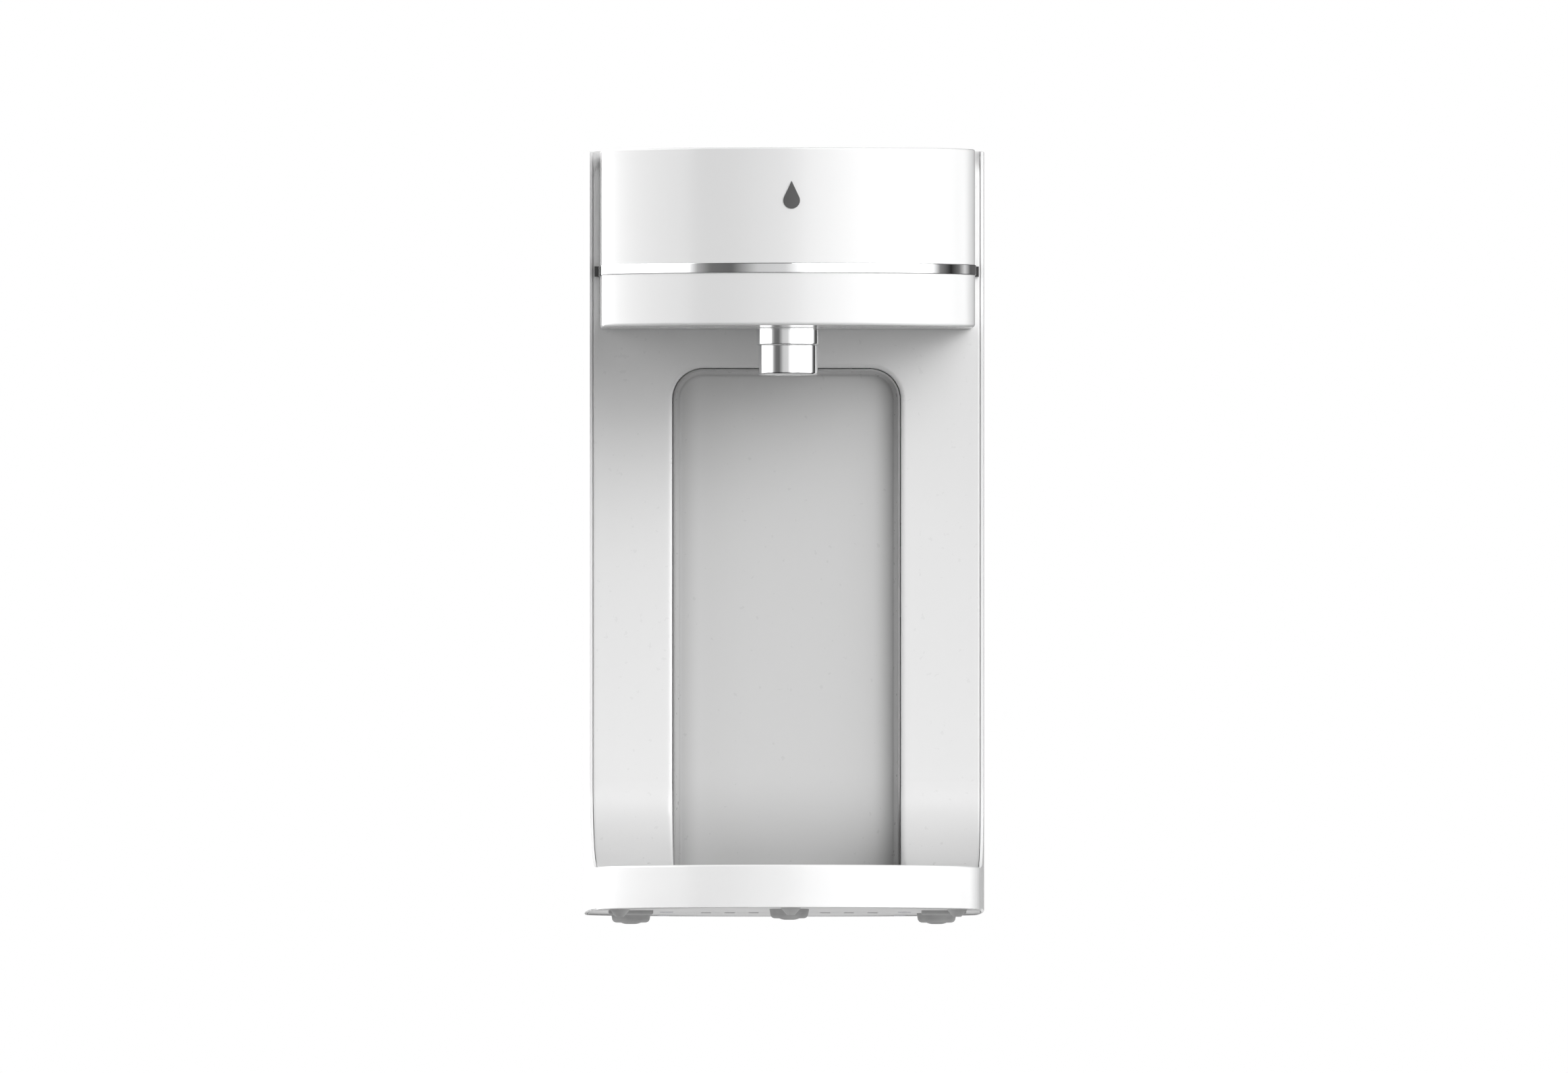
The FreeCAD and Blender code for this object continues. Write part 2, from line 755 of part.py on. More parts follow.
def make_feet():
    """Three rubber feet with a small flat rest under each."""
    r, top = D.foot_radius, D.base_bottom
    profile = [
        (0, 0),
        (2.5, 0, 8.0),
        (5.2, 0.75),
        (r - 2.4, 0.75, 2.2),
        (r - 0.5, 2.6),
        (r, top),
        (0, top),
    ]
    feet = [turned(f"foot_{i}", profile, (x, y, 0)) for i, (x, y) in enumerate(foot_places())]
    node("rubber_feet", group("rubber_feet", feet))


def make_locating_cones():
    """Three conical plugs over the base screws' bosses."""
    places = [(0, -157.0), (-85.0, -86.0), (85.0, -86.0)]
    cones = [taper(f"cone_{i}", (x, y, D.base_bottom - 3.6), 2.0, 5.2, 3.6)
             for i, (x, y) in enumerate(places)]
    node("boss_plugs", group("boss_plugs", cones))


def make_drain_caps():
    """Two low covers over the drain outlets under the base."""
    caps = []
    for side in (-1, 1):
        low, high = sorted((side * 67.7, side * 90.0))
        body = new_body("drain_cap")
        sketch_corners = rectangle(low, -60.0, high, -42.0)
        raised(body, "drain_cap_block", sketch_corners, D.base_bottom - 2.1, D.base_bottom)
        rounded(body, "drain_cap_edge", 1.0, at_height(D.base_bottom - 2.1))
        caps.append(body)
    node("drain_caps", group("drain_caps", caps))


def make_base_screws():
    """Four countersunk screws from below into the shell's bosses."""
    places = [(x, y) for x in (-60, 60) for y in (0, 120)]
    screws = []
    for i, (x, y) in enumerate(places):
        head = taper(f"base_screw_head_{i}", (x, y, D.base_bottom - 0.6), 3.2, 3.6, 0.6)
        socket = rod(f"base_screw_drive_{i}", (x, y, D.base_bottom - 0.7), 1.2, 0.5)
        screws.append(cut(f"base_screw_{i}", head, socket))
    node("base_screws", group("base_screws", screws))


def make_drip_tray():
    """Half-round drawer with a raised tail that fills the foot of the recess."""
    body = new_body("drip_tray")
    low = D.base_bottom + PLATE + 2 * D.gap
    radius, skin, tail = D.base_radius, D.skin, TRAY_TAIL
    raised(body, "tray_block", half_round_with_tail(radius, tail, TRAY_BACK), low, D.base_top)
    raised(body, "tray_apron", half_disc(radius), D.base_bottom, low)
    inside = half_round(radius - skin, D.head_centre_y + 1)
    sunk(body, "tray_apron_hollow", inside, D.base_bottom - 1, low)
    basin = half_round_basin(radius - skin, tail - skin, TRAY_BACK - skin, skin)
    sunk(body, "tray_basin", basin, low + skin, D.base_top + 1)
    rounded(body, "tray_front_edge", 1.0, front_rim_edge)
    node("drip_tray", body)


def half_round_basin(radius, half, back_y, inset):
    """The tray's plan, moved inwards all round."""
    y = D.head_centre_y - inset
    side = root(radius * radius - inset * inset)
    return [
        (-side, y, radius),
        (0, D.head_centre_y - radius, radius),
        (side, y),
        (half, y),
        (half, back_y),
        (-half, back_y),
        (-half, y),
    ]


def front_rim_edge(edge):
    """The tray front's outer top edge."""
    b = edge.BoundBox
    return at_height(D.base_top)(edge) and edge.Curve.TypeId == "Part::GeomCircle" and (
        abs(edge.Curve.Radius - number(D.base_radius)) < 0.01) and b.YMax < number(D.head_centre_y) + 1


def make_drip_grille():
    """Slotted plate on four legs that stands in the tray."""
    play = 2 * D.gap
    body = new_body("drip_grille_plate")
    plan = half_round_basin(D.base_radius - D.skin - play, TRAY_TAIL - D.skin - play,
                            TRAY_BACK - D.skin - play, D.skin + play)
    raised(body, "grille_plate", plan, D.base_top - 2.4, D.base_top - 0.4)
    slots = []
    radius = number(D.base_radius) - 14
    centre = number(D.head_centre_y)
    for i in range(SLOTS):
        y = number(TRAY_BACK) - 16 - SLOT_PITCH * i
        ahead = centre - y
        half = 44.0 if ahead < 6 else math.sqrt(radius**2 - (ahead + 2) ** 2) - 4
        slots.append(box(f"grille_slot_{i}", (-half, y, D.base_top - 4),
                         (half, y + SLOT_WIDTH, D.base_top + 1)))
    spine = box("grille_spine", (-2.5, D.head_centre_y - D.base_radius + 10, D.base_top - 4),
                (2.5, TRAY_BACK - 10, D.base_top + 1))
    openings = cut("grille_openings", fused("grille_slots", *slots), spine)
    plate = cut("grille_slotted", body, openings)
    tray_floor = D.base_bottom + PLATE + 2 * D.gap + D.skin
    leg_foot = tray_floor + D.gap
    ribs = [TRAY_BACK - 16 - SLOT_PITCH * i - (SLOT_PITCH - SLOT_WIDTH) / 2 for i in LEG_RIBS]
    legs = [rod(f"grille_leg_{i}", (x, leg_y, leg_foot), 2.0, D.base_top - 2.0 - leg_foot)
            for i, (x, leg_y) in enumerate((x, leg_y) for x in (-48, 48) for leg_y in ribs)]
    node("drip_grille", fused("drip_grille", plate, *legs))


# ---------------------------------------------------------------- head
def make_head_upper():
    """Upper head cover: half-round wall and the frame around the control deck."""
    body = new_body("head_upper_cover")
    back = D.face_y - D.gap
    raised(body, "upper_block", half_round(D.head_radius, back), D.ring_top, D.top_z)
    sunk(body, "upper_hollow", half_round(D.head_radius - D.skin, back + 1), D.ring_top - 1, D.top_z - D.skin)
    sunk(body, "deck_opening", half_round(D.head_radius - D.deck_inset, back - D.deck_inset),
         D.top_z - D.skin - 1, D.top_z + 1)
    rounded(body, "upper_top_edge", 1.0, outer_edge_at(D.top_z, D.head_radius))
    node("head_upper_cover", body)


def outer_edge_at(height, radius):
    """The outside edge of a half-round cover at a height."""
    r, centre = number(radius), number(D.head_centre_y)

    def test(edge):
        b = edge.BoundBox
        round_front = edge.Curve.TypeId == "Part::GeomCircle" and abs(edge.Curve.Radius - r) < 0.01
        side = abs(abs(b.XMin) - r) < 0.01 and abs(b.XMax - b.XMin) < 0.01 and b.YMin > centre - 0.1
        return at_height(height)(edge) and (round_front or side)

    return test


def make_ring():
    """Chrome band between the two head covers, its ends turned out along the column."""
    body = new_body("chrome_ring")
    back = D.face_y - D.gap
    raised(body, "ring_block", half_round(D.ring_radius, back), D.ring_bottom, D.ring_top)
    raised(body, "ring_ends", rectangle(-D.ring_end, back - 3, D.ring_end, back), D.ring_bottom, D.ring_top)
    sunk(body, "ring_hollow", half_round(D.ring_radius - 4, back + 1), D.ring_bottom - 1, D.ring_top + 1)
    rounded(body, "ring_edges", 0.4, lambda e: outer_edge_at(D.ring_bottom, D.ring_radius)(e)
            or outer_edge_at(D.ring_top, D.ring_radius)(e))
    node("chrome_ring", body)


def make_head_lower():
    """Lower head cover: a half-round tub with a hole for the spout."""
    body = new_body("head_lower_housing")
    back = D.face_y - D.gap
    raised(body, "lower_block", half_round(D.head_radius, back), D.head_bottom, D.ring_bottom)
    sunk(body, "lower_hollow", half_round(D.head_radius - D.skin, back + 1),
         D.head_bottom + D.skin, D.ring_bottom + 1)
    sunk(body, "spout_hole", lambda s: circle(s, 0, D.spout_y, D.collar_radius - 2.2),
         D.head_bottom - 1, D.head_bottom + 10)
    rounded(body, "lower_bottom_edge", 1.6, outer_edge_at(D.head_bottom, D.head_radius))
    node("head_lower_housing", body)


def make_deck():
    """Control deck in the head's top, with holes for the buttons and the display window."""
    body = new_body("control_deck")
    inset = D.deck_inset + D.gap
    low, high = D.top_z - 3.2, D.top_z - 0.3
    raised(body, "deck_plate", half_round(D.head_radius - inset, D.face_y - D.gap - inset), low, high)
    half_x, half_y = WINDOW_SIZE
    sunk(body, "display_opening", rectangle(-half_x, WINDOW_Y - half_y, half_x, WINDOW_Y + half_y),
         low - 1, high + 1)
    for name, (x, y, radius) in BUTTONS.items():
        sunk(body, f"{name}_hole", lambda s, at=(x, y, radius): circle(s, at[0], at[1], at[2] + D.gap),
             low - 1, high + 1)
    posts = [rod(f"deck_post_{i}", (x, y, D.top_z - 13.0), 3.2, 11.0) for i, (x, y) in enumerate(DECK_POSTS)]
    node("control_deck", fused("control_deck", body, *posts))
    lens = new_body("display_window")
    raised(lens, "window_lens", rectangle(-half_x + 0.15, WINDOW_Y - half_y + 0.15,
                                          half_x - 0.15, WINDOW_Y + half_y - 0.15), low, high)
    node("display_window", lens)


def make_buttons():
    """Four push buttons: a cap in the deck, a flange under it and a stem over its switch."""
    high = D.top_z - 0.1
    for name, (x, y, radius) in BUTTONS.items():
        crown = 0.5
        profile = [
            (0, 0),
            (1.8, 0),
            (1.8, 3.0),
            (radius + 1.0, 3.0),
            (radius + 1.0, 4.2),
            (radius, 4.2),
            (radius, 9.0 - crown),
            (radius - crown, 9.0),
            (0, 9.0),
        ]
        node(name, turned(f"{name}_body", profile, (x, y, high - 9.0)))


def make_display_board():
    """Circuit board under the deck with a segment display and a switch below each button."""
    top = D.top_z - 13.0
    board_plan = half_round(D.head_radius - 22.0, D.face_y - 24.0)
    body = new_body("display_board")
    raised(body, "board_sheet", board_plan, top - 1.6, top)
    half_x, half_y = WINDOW_SIZE
    digits = box("segment_display", (-half_x + 4, WINDOW_Y - half_y + 3, top - 0.5),
                 (half_x - 4, WINDOW_Y + half_y - 3, D.top_z - 3.6))
    switches = [box(f"switch_{i}", (x - 3, y - 3, top - 0.5), (x + 3, y + 3, D.top_z - 10.8))
                for i, (x, y, _) in enumerate(BUTTONS.values())]
    node("display_board", fused("display_board", body, digits, *switches))


def make_emblem():
    """Plain water drop on the head's front, as a generic mark."""
    body = new_body("emblem_prism")
    low, tip, r = 357.5, 371.5, 4.2
    reach = math.sqrt((tip - low - r) ** 2 - r**2)
    lean = math.asin(r / (tip - low - r))
    side_x, side_z = reach * math.sin(lean), tip - reach * math.cos(lean)
    drop = [(0, tip), (-side_x, side_z, r), (0, low, r), (side_x, side_z)]
    sketch = upright_sketch(body, "drop", drop, D.head_centre_y - D.head_radius - 2)
    pad = body.newObject("PartDesign::Pad", "drop_prism")
    pad.Profile = sketch
    pad.Reversed = True
    pad.Length = 6
    skin = tube("emblem_skin", (0, D.head_centre_y, low - 2), D.head_radius + 0.35, D.head_radius, 20)
    node("emblem", common("emblem", body, skin))


# ---------------------------------------------------------------- spout
def make_spout():
    """Collar against the head, nozzle below it, aerator insert, seal ring and hose."""
    place = (0, D.spout_y, 0)
    top, floor = D.head_bottom, D.head_bottom + D.skin
    r, c = D.nozzle_radius, D.collar_radius
    collar = [
        (r - 2.0, D.collar_bottom + 1.0),
        (r, D.collar_bottom),
        (c - 0.6, D.collar_bottom, 0.6),
        (c, D.collar_bottom + 0.6),
        (c, top),
        (c - 2.4, top),
        (c - 2.4, floor + 6),
        (r - 5.2, floor + 6),
        (r - 5.2, floor + 2),
        (r - 2.0, floor + 2),
    ]
    node("spout_collar", turned("spout_collar_body", collar, place))
    low = D.nozzle_bottom
    nozzle = [
        (D.nozzle_bore, low + 0.6),
        (D.nozzle_bore + 0.6, low),
        (r - 1.4, low, 1.4),
        (r, low + 1.4),
        (r, D.collar_bottom - 0.05),
        (r - 2.2, D.collar_bottom + 0.95),
        (r - 2.2, floor + 1.8),
        (r - 6.0, floor + 1.8),
        (r - 6.0, low + 12),
        (D.nozzle_bore, low + 12),
    ]
    node("spout_nozzle", turned("spout_nozzle_body", nozzle, place))
    insert = rod("aerator_disc", (0, D.spout_y, low + 0.4), D.nozzle_bore - D.running, 11.4)
    holes = [rod(f"aerator_hole_{i}", (5.2 * math.cos(a), D.spout_y + 5.2 * math.sin(a), low), 1.1, 14)
             for i, a in enumerate(2 * math.pi * k / 8 for k in range(8))]
    centre = rod("aerator_centre", (0, D.spout_y, low), 1.6, 14)
    node("aerator", cut("aerator", insert, centre, *holes))
    node("spout_nut", tube("spout_nut", (0, D.spout_y, floor), c + 3.0, c - 2.4 + D.running, 4.5))
    node("spout_seal", tube("spout_seal", (0, D.spout_y, top), c - 2.2, c - 2.4, 2.4))


# ---------------------------------------------------------------- tank bay and tank
def make_tank_bay(inside):
    """Upright wall behind the column and the floor that the tank stands on."""
    y, low = D.bay_wall_y, D.bay_floor
    top = D.top_z - D.skin - D.gap
    section = [
        (y, low),
        (D.rear_y, low),
        (D.rear_y, low + 3),
        (y + 3, low + 3),
        (y + 3, top),
        (y, top),
    ]
    body = new_body("tank_bay_body")
    across(body, "tank_bay_section", "YZ_Plane", section, 2.2 * D.shell_half_width)
    hole = rod("dock_hole", (0, D.dock_y, low - 1), DOCK_RADIUS + 0.2, 6)
    node("tank_bay", cut("tank_bay", common("tank_bay_trimmed", body, inside), hole))


def make_dock():
    """Cup in the bay's floor that takes the tank's valve, with its push pin and hose barb."""
    y, floor = D.dock_y, D.bay_floor
    profile = [
        (6.0, floor - 9.0),
        (DOCK_RADIUS, floor - 9.0),
        (DOCK_RADIUS, floor + 3.0),
        (DOCK_RADIUS + 3.0, floor + 3.0),
        (DOCK_RADIUS + 3.0, floor + 4.4),
        (VALVE_RADIUS + 0.6, floor + 4.4),
        (VALVE_RADIUS + 0.6, floor - 6.0),
        (6.0, floor - 6.0),
    ]
    cup = turned("dock_cup", profile, (0, y, 0))
    web = box("dock_web", (-6.5, y - 1.2, floor - 9.0), (6.5, y + 1.2, floor - 6.0))
    push_pin = rod("dock_pin", (0, y, floor - 9.0), 2.0, 5.6)
    spigot = tube("dock_spigot", (0, y, floor - 16.0), 6.8, 4.6, 7.0)
    barb = rod("dock_barb", (0, y - 17.0, floor - 13.5), D.hose_bore - 0.1, 12.0, "y")
    closed = rod("dock_spigot_floor", (0, y, floor - 17.0), 6.8, 1.0)
    node("tank_dock", fused("tank_dock", cup, web, push_pin, spigot, closed, barb))
    seal_foot = floor - 1.0
    node("dock_seal", tube("dock_seal", (0, y, seal_foot), VALVE_RADIUS + 0.6, VALVE_RADIUS + 0.1, 3.0))


def make_tank():
    """Water tank: clear walls that follow the shell, outlet hole and two hinge lugs at its mouth."""
    body = new_body("water_tank_body")
    outside = D.tank_inset
    raised(body, "tank_block", lambda s: tail_outline(s, outside, D.tank_front_y),
           D.tank_bottom, D.tank_mouth)
    sunk(body, "tank_inside", lambda s: tail_outline(s, outside + D.tank_wall, D.tank_front_y + D.tank_wall),
         D.tank_bottom + 2.5, D.tank_mouth + 1)
    sunk(body, "tank_outlet", lambda s: circle(s, 0, D.dock_y, VALVE_RADIUS + 0.1),
         D.tank_bottom - 1, D.tank_bottom + 5)
    wall_y = D.tank_front_y + D.tank_wall
    seat = tube("filter_seat", (0, D.dock_y, D.tank_bottom + 1), 23.0, 20.5, 10.5)
    y, z, barrel = D.lid_axis_y, LID_AXIS_Z, D.lid_barrel
    lugs = [seat]
    for side in (-1, 1):
        low, high = sorted((side * LUG_INNER, side * LUG_OUTER))
        foot = box("tank_lug_foot", (low, wall_y - 1, z - 22), (high, y + barrel, z - 12.5))
        web = box("tank_lug_web", (low, y - barrel, z - 12.5), (high, y + barrel, z))
        eye = rod("tank_lug_eye", (low, y, z), barrel, LUG_OUTER - LUG_INNER, "x")
        lugs += [foot, web, eye]
    hole = rod("tank_lug_hole", (-40, y, z), D.pin_radius, 80, "x")
    node("water_tank", cut("water_tank", fused("tank_with_lugs", body, *lugs), hole))
    node("lid_hinge_pin", rod("lid_hinge_pin", (-LUG_OUTER, y, z), D.pin_radius, 2 * LUG_OUTER, "x"))


def make_lid():
    """Tank lid: flat plate level with the casing, skirt over the tank's rim, barrel along its front."""
    y, z, barrel = D.lid_axis_y, LID_AXIS_Z, D.lid_barrel
    low = D.top_z - D.gap - D.lid_plate
    edge = D.shell_wall + D.lid_clearance
    body = new_body("tank_lid_body")
    plate_front = y + 0.5
    raised(body, "lid_plate_block", lambda s: tail_outline(s, edge, plate_front), low, D.top_z - D.gap)
    grip = half_moon(D.rear_y - 30, 16.0, 26.0)
    sunk(body, "lid_grip", grip, low + 1.4, D.top_z + 1)
    rounded(body, "lid_edge", 0.8, behind_and_at(plate_front, D.top_z - D.gap))
    skirt = new_body("tank_lid_skirt")
    skirt_front = y + 5
    raised(skirt, "skirt_block", lambda s: tail_outline(s, D.tank_inset, skirt_front),
           D.tank_mouth + D.gap, low + 0.5)
    sunk(skirt, "skirt_inside", lambda s: tail_outline(s, D.tank_inset + D.tank_wall, skirt_front - 5),
         D.tank_mouth - 1, low + 1)
    half_long = D.shell_half_width - edge - 2.0
    front_barrel = rod("lid_barrel", (-half_long, y, z), barrel, 2 * half_long, "x")
    solid = fused("tank_lid_solid", body, skirt, front_barrel)
    bore = rod("lid_bore", (-40, y, z), D.pin_radius + D.running, 80, "x")
    notches = []
    for side in (-1, 1):
        start, end = sorted((side * (LUG_INNER - LUG_PLAY), side * (LUG_OUTER + LUG_PLAY)))
        notches.append(box("lid_lug_notch", (start, y - 2 * barrel, z - 2 * barrel),
                           (end, y + barrel + LUG_PLAY, D.top_z + 1)))
    node("tank_lid", cut("tank_lid", solid, bore, *notches))


def behind_and_at(y, height):
    """Test for edges that lie flat at a height, other than the one along y."""
    flat = at_height(height)
    return lambda edge: flat(edge) and edge.BoundBox.YMax > number(y) + 0.1


def half_moon(y, depth, half):
    """A finger scoop: flat to the front, bowed to the rear."""
    radius = (half**2 + depth**2) / (2 * depth)
    return [(-half, y), (half, y, radius), (0, y + depth, radius)]


def make_valve():
    """Tank outlet valve: body screwed in the tank's floor, sprung plunger that the dock pin lifts."""
    y, floor = D.dock_y, D.tank_bottom
    seat = floor + 2.0
    profile = [
        (6.5, floor - 9.0),
        (VALVE_RADIUS, floor - 9.0),
        (VALVE_RADIUS, floor + 2.5),
        (16.0, floor + 2.5),
        (16.0, floor + 4.5),
        (3.4, floor + 4.5),
        (3.4, seat),
        (6.5, seat),
    ]
    node("tank_valve_body", turned("tank_valve_turned", profile, (0, y, 0)))
    foot = floor - 8.0
    plunger = [
        (0, foot),
        (5.6, foot),
        (5.6, foot + 1.4),
        (2.4, foot + 1.4),
        (2.4, floor + 4.7),
        (7.0, floor + 4.7),
        (7.0, floor + 6.4),
        (0, floor + 6.4),
    ]
    node("valve_plunger", turned("valve_plunger_turned", plunger, (0, y, 0)))
    low, high, turns = foot + 1.5, seat - 0.1, 4
    coils = [hoop(f"valve_coil_{i}", (0, y, low + 0.5 + (high - low - 1.0) * (i / (turns - 1))), 4.0, 0.45)
             for i in range(turns)]
    struts = [box(f"valve_strut_{i}", (x - 0.3, y - 0.3, low + 0.5), (x + 0.3, y + 0.3, high - 0.5))
              for i, x in enumerate((-4.0, 4.0))]
    node("valve_spring", fused("valve_spring", *coils, *struts))


def make_filter():
    """Carbon filter that turns in a bayonet seat over the outlet."""
    y, floor = D.dock_y, D.tank_bottom + 2.5
    shell = [
        (17.0, floor + 2.6),
        (20.2, floor + 2.6),
        (20.2, floor + 10.0),
        (27.0, floor + 10.0),
        (27.0, floor + 92.0, 6.0),
        (21.0, floor + 98.0),
        (8.0, floor + 98.0),
        (8.0, floor + 104.0),
        (0, floor + 104.0),
        (0, floor + 12.0),
        (17.0, floor + 12.0),
    ]
    body = turned("filter_turned", shell, (0, y, 0))
    reach, half_slot = 24.5, 1.2
    slots = []
    for k in range(10):
        turn = FreeCAD.Rotation(FreeCAD.Vector(0, 0, 1), 36 * k)
        slot = document.addObject("Part::Box", f"filter_slot_{k}")
        bind(slot, Length=2 * half_slot, Width=6.0, Height=60.0)
        corner = turn.multVec(FreeCAD.Vector(-half_slot, reach, 0))
        middle = FreeCAD.Vector(0, number(y), number(floor) + 20)
        slot.Placement = FreeCAD.Placement(middle + corner, turn)
        slots.append(slot)
    wing = box("filter_wing", (-7.6, y - 1.5, floor + 98.5), (7.6, y + 1.5, floor + 112.0))
    node("filter_cartridge", cut("filter_cartridge", fused("filter_with_wing", body, wing), *slots))


def make_float():
    """Level float on its guide rod inside the tank."""
    x, y, floor = 62.0, 60.0, D.tank_bottom + 2.5
    rod_part = rod("float_rod", (x, y, floor), 2.5, 260.0)
    stop = rod("float_stop", (x, y, floor + 260.0), 5.0, 3.0)
    foot = rod("float_foot", (x, y, floor), 6.0, 4.0)
    node("float_guide", fused("float_guide", rod_part, stop, foot))
    profile = [(2.8, 0), (11.0, 0), (12.0, 1.0), (12.0, 15.0), (11.0, 16.0), (2.8, 16.0)]
    node("level_float", turned("level_float_turned", profile, (x, y, floor + 4.3)))


# ---------------------------------------------------------------- water path and electrics
def make_pump():
    """Diaphragm pump: motor can, armature on its shaft, pump head and two rubber mounts."""
    y, z = PUMP_Y, PUMP_Z
    can = rod("motor_can", (-62.0, y, z), 16.0, 56.0, "x")
    hollow = rod("motor_hollow", (-60.5, y, z), 14.0, 53.0, "x")
    shaft_hole = rod("motor_shaft_hole", (-10.0, y, z), 2.05, 6.0, "x")
    node("pump_motor", cut("pump_motor", can, hollow, shaft_hole))
    armature = rod("armature", (-56.0, y, z), 12.5, 40.0, "x")
    shaft = rod("motor_shaft", (-60.3, y, z), 2.0, 68.0, "x")
    slots = [box(f"armature_slot_{i}", (-57.0, y + dy - 0.8, z + dz - 0.8),
                 (-15.0, y + dy + 0.8, z + dz + 0.8))
             for i, (dy, dz) in enumerate((12.0 * math.cos(a), 12.0 * math.sin(a))
                                          for a in (math.pi * k / 4 for k in range(8)))]
    node("pump_rotor", fused("pump_rotor", cut("armature_slotted", armature, *slots), shaft))
    head = rod("pump_head_block", (-6.0, y, z), 17.5, 34.0, "x")
    chamber = rod("pump_chamber", (-7.0, y, z), 9.0, 18.0, "x")
    inlet = rod("pump_inlet", (22.0, y - 8.0, z + 15.0), D.hose_bore - 0.1, 14.0)
    outlet = rod("pump_outlet", (22.0, y + 8.0, z + 15.0), D.hose_bore - 0.1, 14.0)
    node("pump_head", fused("pump_head", cut("pump_head_bored", head, chamber), inlet, outlet))
    saddles = []
    for i, x in enumerate((-52.0, 12.0)):
        block = box(f"pump_saddle_{i}", (x, y - 14.0, D.base_bottom + PLATE), (x + 8.0, y + 14.0, z - 4.0))
        seat = rod(f"pump_saddle_seat_{i}", (x - 1, y, z), 16.1 if i == 0 else 17.6, 10.0, "x")
        saddles.append(cut(f"pump_saddle_cut_{i}", block, seat))
    node("pump_mounts", group("pump_mounts", saddles))


def make_flow_meter():
    """Flow meter with a small impeller, on the column's right."""
    x, y, z = FLOW_X, PUMP_Y, FLOW_Z
    block = box("flow_block", (x - 14, y - 10, z - 12), (x + 14, y + 10, z + 12))
    chamber = rod("flow_chamber", (x, y - 7, z), 9.5, 14.0, "y")
    inlet = rod("flow_inlet", (x, y, z - 24), D.hose_bore - 0.1, 12.5)
    outlet = rod("flow_outlet", (x, y, z + 11.5), D.hose_bore - 0.1, 12.5)
    spindle = rod("flow_spindle", (x, y - 9, z), 1.0, 18.0, "y")
    node("flow_meter_body", fused("flow_meter_body", cut("flow_block_bored", block, chamber),
                                  inlet, outlet, spindle))
    hub = rod("impeller_hub", (x, y - 5, z), 2.8, 10.0, "y")
    blades = [box("impeller_blade_x", (x - 8.5, y - 4, z - 0.6), (x + 8.5, y + 4, z + 0.6)),
              box("impeller_blade_z", (x - 0.6, y - 4, z - 8.5), (x + 0.6, y + 4, z + 8.5))]
    bore = rod("impeller_bore", (x, y - 6, z), 1.0 + D.running, 12.0, "y")
    node("flow_impeller", cut("flow_impeller", fused("impeller_solid", hub, *blades), bore))


def make_heater():
    """Instant heater: finned tube held by a bracket, with a sensor and a thermal cut-out."""
    x, y, z = HEATER_X, PUMP_Y, HEATER_Z
    barrel = rod("heater_barrel", (x, y, z), 15.0, 130.0)
    caps = [rod(f"heater_cap_{i}", (x, y, z + dz), 17.0, 8.0) for i, dz in enumerate((-8.0, 130.0))]
    inlet = rod("heater_inlet", (x, y, z - 20.0), D.hose_bore - 0.1, 12.5)
    outlet = rod("heater_outlet", (x, y, z + 137.5), D.hose_bore - 0.1, 12.5)
    node("instant_heater", fused("instant_heater", barrel, *caps, inlet, outlet))
    bands = [tube(f"heater_band_{i}", (x, y, z + dz), 16.2, 15.0 + D.running, 10.0)
             for i, dz in enumerate((20.0, 100.0))]
    ears = [box(f"heater_ear_{i}", (x - 9, y + 15.6, z + dz), (x + 9, D.bay_wall_y, z + dz + 10.0))
            for i, dz in enumerate((20.0, 100.0))]
    node("heater_bracket", group("heater_bracket", [
        fused(f"heater_clip_{i}", band, ear) for i, (band, ear) in enumerate(zip(bands, ears))]))
    node("temperature_sensor", rod("temperature_sensor", (x + 15.0, y, z + 122.0), 2.4, 14.0, "x"))
    node("thermal_cutout", box("thermal_cutout", (x - 5, y - 21.5, z + 60), (x + 5, y - 15.0, z + 72)))


def hose(name, points, bend):
    """A hose along straight runs joined by tangent arcs."""
    points = [FreeCAD.Vector(*map(number, p)) for p in points]
    edges, start = [], points[0]
    for before, corner, after in zip(points, points[1:], points[2:]):
        back = (before - corner).normalize()
        ahead = (after - corner).normalize()
        half_turn = back.getAngle(ahead) / 2
        reach = bend / math.tan(half_turn)
        first, last = corner + back * reach, corner + ahead * reach
        bisector = (back + ahead).normalize()
        middle = corner + bisector * (bend / math.sin(half_turn) - bend)
        edges.append(Part.LineSegment(start, first).toShape())
        edges.append(Part.Arc(first, middle, last).toShape())
        start = last
    edges.append(Part.LineSegment(start, points[-1]).toShape())
    path = Part.Wire(edges)
    direction = (points[1] - points[0]).normalize()
    solids = []
    for radius in (number(D.hose_radius), number(D.hose_bore)):
        ring = Part.Wire(Part.makeCircle(radius, points[0], direction))
        solids.append(path.makePipeShell([ring], True, True))
    piece = document.addObject("Part::Feature", name)
    piece.Shape = solids[0].cut(solids[1])
    node(name, piece)


